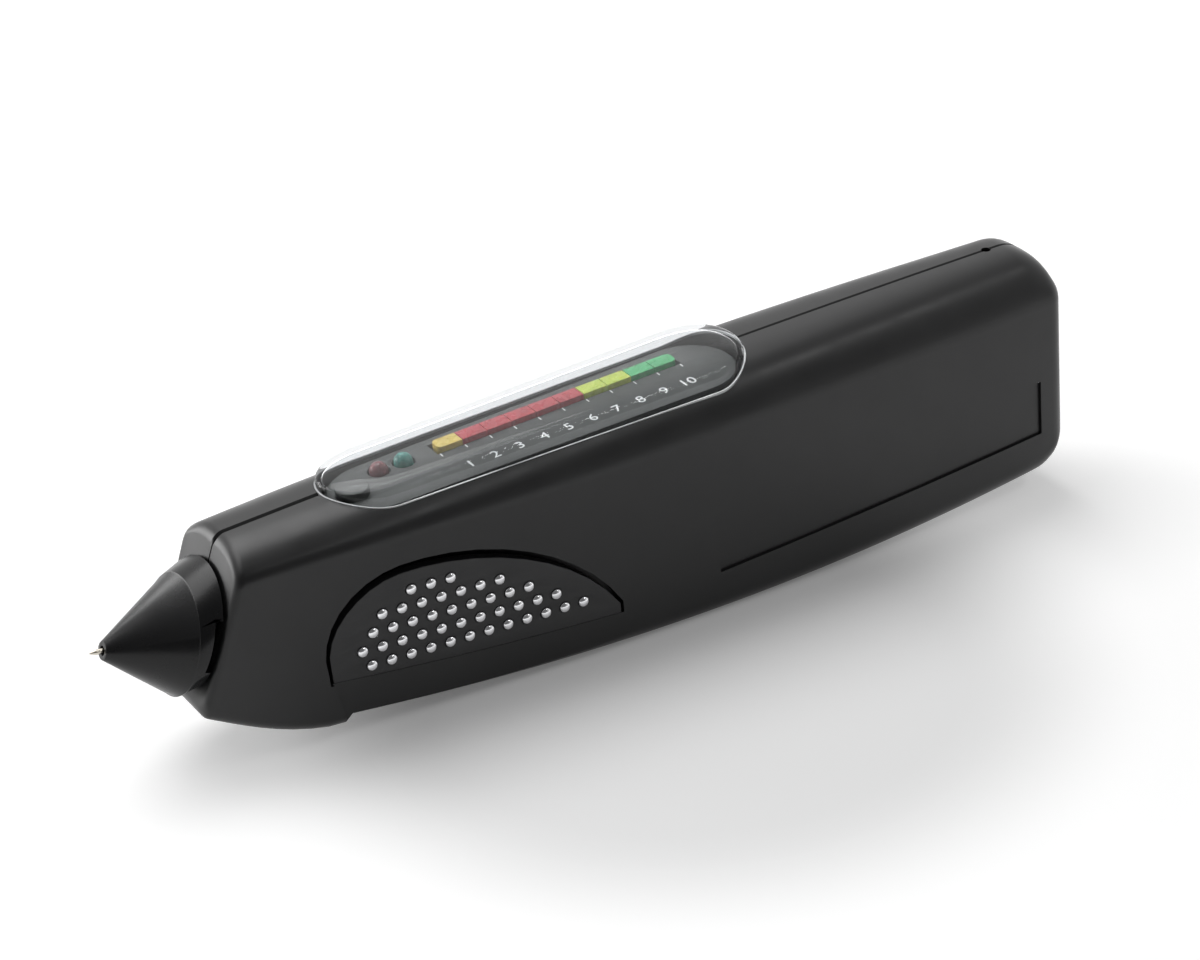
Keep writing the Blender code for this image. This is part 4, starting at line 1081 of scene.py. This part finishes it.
materials = {
    "casing_black": moulded("casing_plastic", (0.006, 0.006, 0.0065), (0.009, 0.009, 0.0095),
                            0.3, 0.38, 5200.0, 0.006 * MM, 0.43),
    "nose_black": moulded("nose_plastic", (0.004, 0.004, 0.0045), (0.006, 0.006, 0.0065),
                          0.24, 0.3, 5200.0, 0.003 * MM, 0.3),
    "grip_black": moulded("grip_rubber", (0.01, 0.01, 0.011), (0.014, 0.014, 0.015),
                          0.42, 0.5, 4200.0, 0.01 * MM),
    "chrome": plated("chrome_plate", (0.85, 0.85, 0.87), 0.08, 0.14),
    "steel": plated("bright_steel", (0.6, 0.6, 0.61), 0.26, 0.3),
    "probe_metal": plated("probe_alloy", (0.62, 0.58, 0.5), 0.18, 0.24),
    "clear_cover": clear_plastic("cover_plastic"),
    # Light grey to near white: a painted highlight for the bright line along the cover's rim
    "rim_highlight_paint": moulded("painted_rim_highlight", (0.2, 0.205, 0.21), (0.75, 0.76, 0.77), 0.1, 0.2,
                          900.0, 0.001 * MM),
    "panel_grey": moulded("panel_print", (0.03, 0.033, 0.0315), (0.04, 0.043, 0.0415),
                          0.5, 0.6, 3000.0, 0.004 * MM),
    "board_green": moulded("board_mask", (0.012, 0.09, 0.035), (0.02, 0.13, 0.05),
                           0.25, 0.35, 900.0, 0.01 * MM),
    "cell_grey": moulded("cell_wrap", (0.24, 0.25, 0.28), (0.3, 0.31, 0.34),
                         0.25, 0.34, 1500.0, 0.003 * MM),
    "insulator_cream": moulded("insulator_plastic", (0.6, 0.56, 0.46), (0.68, 0.63, 0.53),
                               0.4, 0.5, 2600.0, 0.005 * MM),
    "scale_print": moulded("scale_ink", (0.62, 0.63, 0.63), (0.72, 0.73, 0.73), 0.5, 0.6, 3000.0,
                           0.002 * MM),
    "lamp_yellow": lamp("yellow_lens", (0.4, 0.3, 0.05), (0.48, 0.36, 0.07)),
    "lamp_red": lamp("red_lens", (0.27, 0.015, 0.025), (0.33, 0.025, 0.035)),
    "lamp_lime": lamp("lime_lens", (0.3, 0.38, 0.03), (0.38, 0.46, 0.05)),
    "lamp_green": lamp("green_lens", (0.03, 0.26, 0.09), (0.045, 0.33, 0.12)),
    "ready_lens": lamp("teal_lens", (0.02, 0.13, 0.11), (0.035, 0.18, 0.15)),
    "battery_lens": lamp("dull_red_lens", (0.1, 0.03, 0.035), (0.14, 0.045, 0.05)),
}


def piece(node, mesh, look=None, extra=()):
    """A finished piece, made in the tester's frame, that stands for its node."""
    slot = nodes[node].material_slots[0].material.name
    mesh.transform(world_from_tester)
    mesh.materials.clear()
    for name in (look or slot, *extra):
        mesh.materials.append(materials[name])
    mesh.shade_smooth()
    mesh.set_sharp_from_angle(angle=smooth_angle)
    thing = bpy.data.objects.new(f"{node}_finish", mesh)
    scene.collection.objects.link(thing)
    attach(thing, node_body[node])
    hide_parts(node)
    return thing


# Casing halves
cavity = inner_loft(wall)
guide_hole = rod(along_probe(guide_flange_end), along_probe(guide_end + cut_over),
                 guide_outer + seat_gap)
window_opening = flat([window_outline(-seat_gap)], ledge_top, cover_crown + cut_over, "Z")
ledge_opening = flat([window_outline(ledge_inset)], ledge_bottom - cut_over,
                     ledge_top + cut_over, "Z")
strap_x = casing_rear - strap_hole_setback
strap_hole = rod((strap_x, 0.0, top_line(strap_x) - strap_hole_depth),
                 (strap_x, 0.0, top_line(strap_x) + cut_over), strap_hole_radius)
socket_mouth = casing_rear - seat_gap
socket_back = socket_mouth - socket_length
socket_flange_front = casing_rear - wall - seat_gap
socket_hole = rod((socket_flange_front - cut_over, 0.0, socket_z),
                  (casing_rear + cut_over, 0.0, socket_z), socket_radius + seat_gap)
belly_run = casing_front - belly_low_x
rest_x = belly_low_x + math.tan(rest_pitch) * belly_run ** 2 / (belly_front - belly_low) / 2
rest_box = moved(box((casing_front, -widest_half, -cut_over), (casing_rear, widest_half, 0.0)),
                 Matrix.Translation((rest_x, 0.0, belly_line(rest_x) + rest_flat_depth))
                 @ Matrix.Rotation(-rest_pitch, 4, "Y"))


def half_steps(side):
    """The Boolean steps that both halves of the casing share."""
    low, high = sorted((side * seam_gap / 2, side * widest_half))
    keep = box((casing_front, low, ledge_bottom - cut_over),
               (casing_rear, high, ledge_top + cut_over))
    ledge = carved(flat([window_outline(-ledge_spread)], ledge_bottom, ledge_top, "Z"),
                   [("INTERSECT", keep), ("DIFFERENCE", ledge_opening)])
    room = grip_thickness + contact_thickness + seat_gap * 2
    backing, opening, facet = [
        moved(grip_slab(side, [outline], near, far), grip_place(side)) for outline, near, far in (
            (grip_outline(-grip_floor_margin), wall / 2, room + grip_floor),
            (grip_outline(0.0), -cut_over * 2, room),
            (grip_facet_outline(), -cut_over * 2, 0.0))]
    posts = [cross_rod(x, z, side * seam_gap / 2, side * (half_width(x) - wall / 2), boss_radius)
             for x, z in screw_places]
    return [("DIFFERENCE", cavity), ("DIFFERENCE", guide_hole), ("UNION", ledge),
            ("DIFFERENCE", window_opening), ("UNION", backing), ("DIFFERENCE", opening),
            ("DIFFERENCE", facet), ("UNION", joined(posts)), ("DIFFERENCE", strap_hole),
            ("DIFFERENCE", socket_hole), ("DIFFERENCE", rest_box)]


screw_seats = [half_width(x) - screw_sink for x, _ in screw_places]
pilots = [cross_rod(x, z, cut_over, seat - screw_length - seat_gap, screw_radius + seat_gap)
          for (x, z), seat in zip(screw_places, screw_seats)]
shank_holes = [cross_rod(x, z, -cut_over, half_width(x), screw_radius + seat_gap)
               for x, z in screw_places]
head_bores = [cross_rod(x, z, seat - seat_gap, half_width(x) + cut_over,
                        screw_head_radius + seat_gap)
              for (x, z), seat in zip(screw_places, screw_seats)]
label_box = carved(box((label_front, -widest_half - cut_over, label_bottom),
                       (label_rear, -seam_gap, label_top)),
                   [("DIFFERENCE", inner_loft(label_recess))])
piece("casing_left", carved(casing_half(-1), half_steps(-1) + [
    ("DIFFERENCE", joined(pilots)), ("DIFFERENCE", label_box)]))

door_opening = box((door_front, cell_radius, door_bottom),
                   (door_rear, widest_half + cut_over, door_top))
side_y = half_width(switch_x) - side_draft / 2
switch_outer = side_y - wall - seat_gap
slot_half = (slider_length + slider_travel) / 2 + seat_gap
switch_slot = block(switch_x, switch_z, slot_half, slider_height / 2 + seat_gap,
                    switch_outer, side_y + cut_over)
switch_dish = block(switch_x, switch_z, slot_half + slot_dish_margin,
                    slider_height / 2 + slot_dish_margin,
                    side_y - slot_dish_depth, side_y + cut_over)
piece("casing_right", carved(casing_half(1), half_steps(1) + [
    ("DIFFERENCE", door_opening), ("DIFFERENCE", switch_slot), ("DIFFERENCE", switch_dish),
    ("DIFFERENCE", joined(shank_holes)), ("DIFFERENCE", joined(head_bores))]))

# Battery door, from the same skin
door_steps = [("DIFFERENCE", cavity),
              ("INTERSECT", box((door_front + seat_gap, cell_radius, door_bottom + seat_gap),
                                (door_rear - seat_gap, widest_half + cut_over,
                                 door_top - seat_gap)))]
for share in rib_shares[::2]:
    rib_x = mix(door_front, door_rear, share)
    door_steps.append(("UNION", block(rib_x, rib_middle, rib_thickness / 2, rib_height / 2,
                                      cell_radius + seat_gap, half_width(rib_x) - wall / 2)))
tab_skin = half_width(door_front) - side_draft - wall - seat_gap
for way in (-1, 1):
    tab_middle = rib_middle + way * door_tab_spacing / 2
    low, high = tab_middle - door_tab_height / 2, tab_middle + door_tab_height / 2
    for front_x, near, far in (
            (door_front - door_tab_reach, tab_skin - door_tab_thickness, tab_skin),
            (door_front + seat_gap * 2, tab_skin - door_tab_thickness / 2, tab_skin + wall / 2)):
        door_steps.append(("UNION", box((front_x, near, low),
                                        (door_front + door_tab_root, far, high))))
thumb_x = door_rear - door_thumb_setback
thumb_y = half_width(thumb_x)
door_steps.append(("DIFFERENCE", cross_rod(thumb_x, rib_middle, thumb_y - door_thumb_depth,
                                           thumb_y + cut_over, door_thumb_radius)))
piece("battery_door", carved(casing_half(1), door_steps))


# Nose and probe
blunt_centre = nose_apex + nose_slant * (nose_blunt_radius / nose_base_radius)
edge_centre = nose_base + (collar_back - nose_base).normalized() * collar_edge_run
nose_room_radius = guide_flange_radius + seat_gap
nose_steps = [("DIFFERENCE", turned([
    (0.0, nose_slant.length + nose_base_radius),
    (nose_room_radius, nose_slant.length + nose_base_radius),
    (nose_room_radius, nose_slant.length),
    (holder_bore_radius, holder_bore_start + holder_bore_length),
    (holder_bore_radius, holder_bore_start),
    (probe_hole_radius, holder_bore_start),
    (probe_hole_radius, -cut_over),
    (0.0, -cut_over)], nose_apex, probe_axis))]
slot_floor = nose_room_radius + collar_slot_wall
for side in (-1, 1):
    low, high = sorted((side * slot_floor, side * (collar_radius + cut_over)))
    slot = box((-collar_slot_depth, low, -collar_slot_height / 2),
               (cut_over, high, collar_slot_height / 2))
    nose_steps.append(("DIFFERENCE", moved(slot, Matrix.Translation(collar_back)
                                           @ Matrix.Rotation(front_lean, 4, "Y"))))
nose_skin = loft([nose_ring(*values) for values in (
    (neck_back, neck_radius, front_lean), (collar_back, neck_radius, front_lean),
    (collar_back, collar_radius, front_lean),
    (edge_centre, nose_base_radius + collar_edge, nose_base_lean),
    (nose_base, nose_base_radius, nose_base_lean),
    (blunt_centre, nose_blunt_radius, nose_base_lean))])
piece("nose_cone", softened(carved(nose_skin, nose_steps), nose_fillet))
piece("probe_tip", turned([
    (0.0, probe_length), (probe_radius, probe_length), (probe_radius, probe_point_length),
    (probe_radius * probe_point_share, 0.0), (0.0, 0.0)], nose_apex, probe_axis, small_fillet))
holder_start = holder_bore_start + seat_gap
piece("probe_holder", turned([
    (0.0, flange_start + flange_length + tail_length),
    (tail_radius, flange_start + flange_length + tail_length),
    (tail_radius, flange_start + flange_length), (flange_radius, flange_start + flange_length),
    (flange_radius, flange_start), (holder_radius, flange_start), (holder_radius, holder_start),
    (probe_radius + seat_gap / 2, holder_start),
    (probe_radius + seat_gap / 2, probe_length + seat_gap), (0.0, probe_length + seat_gap)],
    nose_apex, probe_axis, small_fillet))
spring = piece("probe_spring", welded("probe_spring"))
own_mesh(spring)


# Display
def cover_ring(inset, height_share, thickness):
    """One ring of the cover. Its rim follows the casing's top, and it rises to a level crown."""
    points = []
    for (rim_x, rim_y), (x, y) in zip(window_outline(0.0), window_outline(inset)):
        rim_height = skin_height(rim_x, rim_y) - cover_rim_drop
        points.append((x, y, mix(rim_height, cover_crown - thickness, height_share)))
    return points


def dome_rings(thickness):
    span = (window_half - thickness) * (1 - cover_flat_share)
    cover_bottom = ledge_top + seat_gap
    rings = [[(x, y, cover_bottom) for x, y, _ in cover_ring(thickness, 0.0, thickness)]]
    for angle in turns(math.pi / 2, fine_cover_steps):
        share = math.sin(angle)
        reach = (1 - share ** cover_roundness_share) ** (1 / cover_roundness_share)
        rings.append(cover_ring(thickness + span * (1 - reach), share, thickness))
    return rings


def trim(name, mesh, look):
    """A fine finish piece of the casing's body that stands for no node of its own."""
    mesh.transform(world_from_tester)
    mesh.materials.append(materials[look])
    thing = bpy.data.objects.new(name, mesh)
    scene.collection.objects.link(thing)
    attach(thing, "casing")


piece("display_cover", loft(dome_rings(cover_wall)[::-1] + dome_rings(0.0)))
# A thin light band round the foot of the cover: a painted highlight along its rim
rim_highlight_rings = []
for inset, rise in ((0.0, -rim_drop), (0.0, rim_rise), (-rim_width, rim_rise),
                    (-rim_width, -rim_drop)):
    rim_highlight_rings.append([(x, y, z + rise) for x, y, z in cover_ring(inset, 0.0, 0.0)])
trim("rim_highlight_band", loft(rim_highlight_rings, hoop=True), "rim_highlight_paint")
bar_end = bar_start + bar_pitch * len(bar_colours)
bar_far = bar_near + bar_width
lamp_places = {"ready_lamp": ready_lamp_x, "battery_lamp": battery_lamp_x}
panel_outline = [window_outline(panel_inset),
                 [(bar_start - seat_gap, bar_near - seat_gap),
                  (bar_end + seat_gap, bar_near - seat_gap),
                  (bar_end + seat_gap, bar_far + seat_gap),
                  (bar_start - seat_gap, bar_far + seat_gap)]]
panel_outline += [circle(x, lamp_y, lamp_radius + seat_gap, fine_round_sides)
                  for x in lamp_places.values()]
panel = flat(panel_outline, panel_bottom, panel_top, "Z", panel_edge)
boss = turned([(0.0, panel_boss_height), (panel_boss_radius, panel_boss_height),
               (panel_boss_radius, -panel_thickness / 2), (0.0, -panel_thickness / 2)],
              (panel_boss_x, 0.0, panel_top), (0.0, 0.0, 1.0), boss_fillet)
piece("display_panel", carved(panel, [("UNION", boss)]))


def bar_outline(start, end, front_radius, rear_radius):
    """A lamp's outline from above, with its two ends rounded by their own radii."""
    corners = [(end, bar_near, rear_radius, -1, 1, -90),
               (end, bar_far, rear_radius, -1, -1, 0),
               (start, bar_far, front_radius, 1, -1, 90),
               (start, bar_near, front_radius, 1, 1, 180)]
    points = []
    for x, y, radius, way_x, way_y, first in corners:
        for angle in turns(math.pi / 2, corner_rounds, math.radians(first)):
            points.append((x + way_x * radius + radius * math.cos(angle),
                           y + way_y * radius + radius * math.sin(angle)))
    return points


board_top = ledge_bottom - seat_gap
for number in range(len(bar_colours)):
    start = bar_start + bar_pitch * number
    first, last = number == 0, number == len(bar_colours) - 1
    outline = bar_outline(start + (bar_gap if first else bar_show_gap) / 2,
                          start + bar_pitch - (bar_gap if last else bar_show_gap) / 2,
                          bar_end_radius if first else bar_corner_radius,
                          bar_end_radius if last else bar_corner_radius)
    piece(f"bar_lamp_{number + 1:02d}", flat([outline], board_top + seat_gap, bar_top, "Z",
                                             bar_edge))
for name, lamp_x in lamp_places.items():
    foot = board_top + seat_gap
    profile = dome_profile(lamp_radius, lamp_top - lamp_radius, lamp_radius) + [
        (lamp_radius, foot + lamp_flange_height), (lamp_flange_radius, foot + lamp_flange_height),
        (lamp_flange_radius, foot), (0.0, foot)]
    piece(name, turned(profile, (lamp_x, lamp_y, 0.0), (0.0, 0.0, 1.0)),
          name.replace("lamp", "lens"))


# Printed scale on the panel: plain numbers and ticks
def number_mesh(word, x, y):
    curve = bpy.data.curves.new("number", "FONT")
    curve.body = word
    curve.size = number_height
    curve.align_x = "CENTER"
    curve.extrude = print_height / 2
    curve.resolution_u = number_steps
    mesh = evaluated(bpy.data.objects.new("number", curve))
    mesh.transform(Matrix.Translation((x, y, panel_top + print_height / 2)))
    return mesh


numbers = []
ticks = []
for number in range(len(bar_colours)):
    x = bar_start + bar_pitch * (number + 1 / 2)
    numbers.append(number_mesh(str(number + 1), x, number_y))
for number in range(len(bar_colours) + 1):
    x = bar_start + bar_pitch * number
    ticks.append(box((x - tick_width / 2, bar_near - tick_gap - tick_length, panel_top),
                     (x + tick_width / 2, bar_near - tick_gap, panel_top + print_height)))
trim("scale_numbers", joined(numbers), "scale_print")
trim("scale_ticks", joined(ticks), "scale_print")


# Grips and their studs
for side, word in ((-1, "left"), (1, "right")):
    holes = [circle(x, z, stud_radius + seat_gap / 2, stud_round_sides)
             for x, z in stud_centres()]
    pad = grip_slab(side, [grip_outline(seat_gap, True, pad_low_gap), *holes],
                    0.0, grip_thickness, grip_edge)
    piece(f"grip_pad_{word}", moved(pad, grip_place(side)))
    back = grip_thickness + seat_gap
    plate = [grip_slab(side, [grip_outline(contact_inset, True)], back, back + contact_thickness)]
    profile = dome_profile(stud_show_radius, 0.0, stud_proud) + [
        (stud_show_radius, -back - contact_thickness / 2), (0.0, -back - contact_thickness / 2)]
    for x, z in stud_centres():
        plate.append(turned(profile, (x, 0.0, z), (0.0, side, 0.0), sides=stud_round_sides))
    piece(f"contact_plate_{word}", moved(joined(plate), grip_place(side)))


# Power pieces and fasteners
slider_x = switch_x - slider_travel / 2
slider_low, slider_high = switch_outer + seat_gap, side_y - slider_inset
thumb_rest = block(slider_x, switch_z, slider_length / 2, slider_height / 2,
                   slider_low, slider_high - ridge_height)
ridges = [block(slider_x + (number - (ridge_count - 1) / 2) * ridge_pitch, switch_z,
                ridge_width / 2, slider_height / 2 - ridge_margin,
                slider_low + ridge_height, slider_high) for number in range(ridge_count)]
slider = carved(thumb_rest, [("UNION", ridge) for ridge in ridges])
piece("power_slider", softened(slider, small_fillet))
piece("power_socket", turned([
    (0.0, socket_length - socket_bore_depth),
    (socket_bore_radius, socket_length - socket_bore_depth),
    (socket_bore_radius, socket_length), (socket_radius, socket_length),
    (socket_radius, socket_flange_front - socket_back),
    (socket_flange_radius, socket_flange_front - socket_back),
    (socket_flange_radius, socket_flange_front - socket_flange_length - socket_back),
    (socket_radius, socket_flange_front - socket_flange_length - socket_back),
    (socket_radius, 0.0), (0.0, 0.0)], (socket_back, 0.0, socket_z), (1.0, 0.0, 0.0), small_fillet))
for number, ((x, z), seat) in enumerate(zip(screw_places, screw_seats), start=1):
    screw = turned([
        (0.0, screw_head_height), (screw_head_radius, screw_head_height),
        (screw_head_radius, 0.0), (screw_radius, 0.0),
        (screw_radius, -screw_length + screw_radius), (0.0, -screw_length)],
        (x, seat, z), (0.0, 1.0, 0.0), small_fillet)
    top = seat + screw_head_height
    blades = [block(x, z, along, up, top - recess_depth, top + cut_over)
              for along, up in ((recess_reach, recess_width / 2),
                                (recess_width / 2, recess_reach))]
    piece(f"casing_screw_{number}", carved(screw, [("DIFFERENCE", blade) for blade in blades]))
for number, height in enumerate(cell_heights, start=1):
    nub_rear = number % 2 == 1
    start = cell_front if nub_rear else cell_front + cell_total
    way = 1.0 if nub_rear else -1.0
    cell = turned([
        (0.0, cell_total), (cell_nub_radius, cell_total), (cell_nub_radius, cell_length),
        (cell_radius, cell_length), (cell_radius, 0.0), (0.0, 0.0)],
        (start, 0.0, height), (way, 0.0, 0.0), small_fillet)
    piece(f"battery_{number}", cell, extra=("steel",))
    for face in cell.polygons:
        reach = abs((world_from_tester.inverted() @ face.center).x - start)
        if reach > cell_length - cell_bare or reach < cell_bare:
            face.material_index = 1

for name in ("battery_tray", "battery_contact_front", "battery_bridge_front",
             "battery_bridge_rear", "battery_contact_rear", "probe_guide", "circuit_board",
             "microcontroller", "buzzer", "power_switch"):
    piece(name, softened(welded(name), small_fillet))


# Studio
def plain_light_share(tree):
    """1 for rays that see the white surroundings: from the camera, mirrored or through glass."""
    path = tree.nodes.new("ShaderNodeLightPath")
    total = path.outputs["Is Camera Ray"]
    for kind in ("Is Glossy Ray", "Is Transmission Ray"):
        total = combined(tree, "MAXIMUM", total, path.outputs[kind])
    return total


floor_shape = bmesh.new()
bmesh.ops.create_grid(floor_shape, x_segments=1, y_segments=1, size=floor_size / 2)
floor = bpy.data.objects.new("floor", mesh_from(floor_shape, "floor"))
scene.collection.objects.link(floor)
floor_material, tree, shader = new_material("floor_paper", floor_paper)
glow = add_node(tree, "ShaderNodeEmission")
glow.inputs["Color"].default_value = plain_white
offset = vector_step(tree, "SUBTRACT", coordinates(tree, "Object"), floor_middle)
reach = vector_step(tree, "LENGTH", vector_step(tree, "MULTIPLY", offset, floor_reach))
# Weaker glow near the tester: it lets the cast shadow show, and it paints shade round the tester too
painted_shade_glow = map_range(tree, reach, (floor_near, floor_far, floor_glow_near, floor_glow_far),
                 smooth=True)
wide = map_range(tree, reach, (floor_wide_near, floor_wide_far, 0.0, floor_wide_glow))
strength = combined(tree, "MULTIPLY", plain_light_share(tree),
                    combined(tree, "ADD", painted_shade_glow, wide))
tree.links.new(strength, glow.inputs["Strength"])
both = tree.nodes.new("ShaderNodeAddShader")
tree.links.new(shader.outputs["BSDF"], both.inputs[0])
tree.links.new(glow.outputs["Emission"], both.inputs[1])
final_surface(tree, both.outputs["Shader"])
floor.data.materials.append(floor_material)

world = bpy.data.worlds.new("studio")
scene.world = world
world.use_nodes = True
tree = world.node_tree
background = tree.nodes["Background"]
background.inputs["Color"].default_value = plain_white
level = add_node(tree, "ShaderNodeMapRange")
level.inputs["To Min"].default_value = world_level
tree.links.new(plain_light_share(tree), level.inputs["Value"])
# Mirrored rays see the surroundings darker toward the front left
facing = vector_step(tree, "DOT_PRODUCT", coordinates(tree, "Generated"), dark_way)
shade = map_range(tree, facing, (dark_start, dark_end, 0.0, dark_share))
mirrored_ray = tree.nodes.new("ShaderNodeLightPath").outputs["Is Glossy Ray"]
tree.links.new(combined(tree, "SUBTRACT", 1.0, combined(tree, "MULTIPLY", shade, mirrored_ray)),
               level.inputs["To Max"])
tree.links.new(level.outputs["Result"], background.inputs["Strength"])


def softbox(name, place, size, watts):
    light = bpy.data.lights.new(name, "AREA")
    light.shape = "RECTANGLE"
    light.size, light.size_y = size
    light.energy = watts
    holder = bpy.data.objects.new(name, light)
    scene.collection.objects.link(holder)
    holder.location = place
    aim = Vector(light_target) - Vector(place)
    holder.rotation_euler = aim.to_track_quat("-Z", "Y").to_euler()


for box_values in softboxes:
    softbox(*box_values)

scene.view_settings.view_transform = "Standard"
lens = bpy.data.cameras.new("photo_camera")
lens.lens = camera_lens
lens.sensor_width = camera_sensor
lens.clip_start = camera_clip
camera = bpy.data.objects.new("photo_camera", lens)
scene.collection.objects.link(camera)
scene.camera = camera
back = Vector((-math.sin(camera_azimuth) * math.cos(camera_elevation),
               -math.cos(camera_azimuth) * math.cos(camera_elevation),
               math.sin(camera_elevation)))
right = Vector((math.cos(camera_azimuth), -math.sin(camera_azimuth), 0.0))
up = back.cross(right)
rolled_right = right * math.cos(camera_roll) - up * math.sin(camera_roll)
rolled_up = right * math.sin(camera_roll) + up * math.cos(camera_roll)
turn = Matrix((rolled_right, rolled_up, back)).transposed()
camera.matrix_world = Matrix.Translation(camera_place) @ turn.to_4x4()
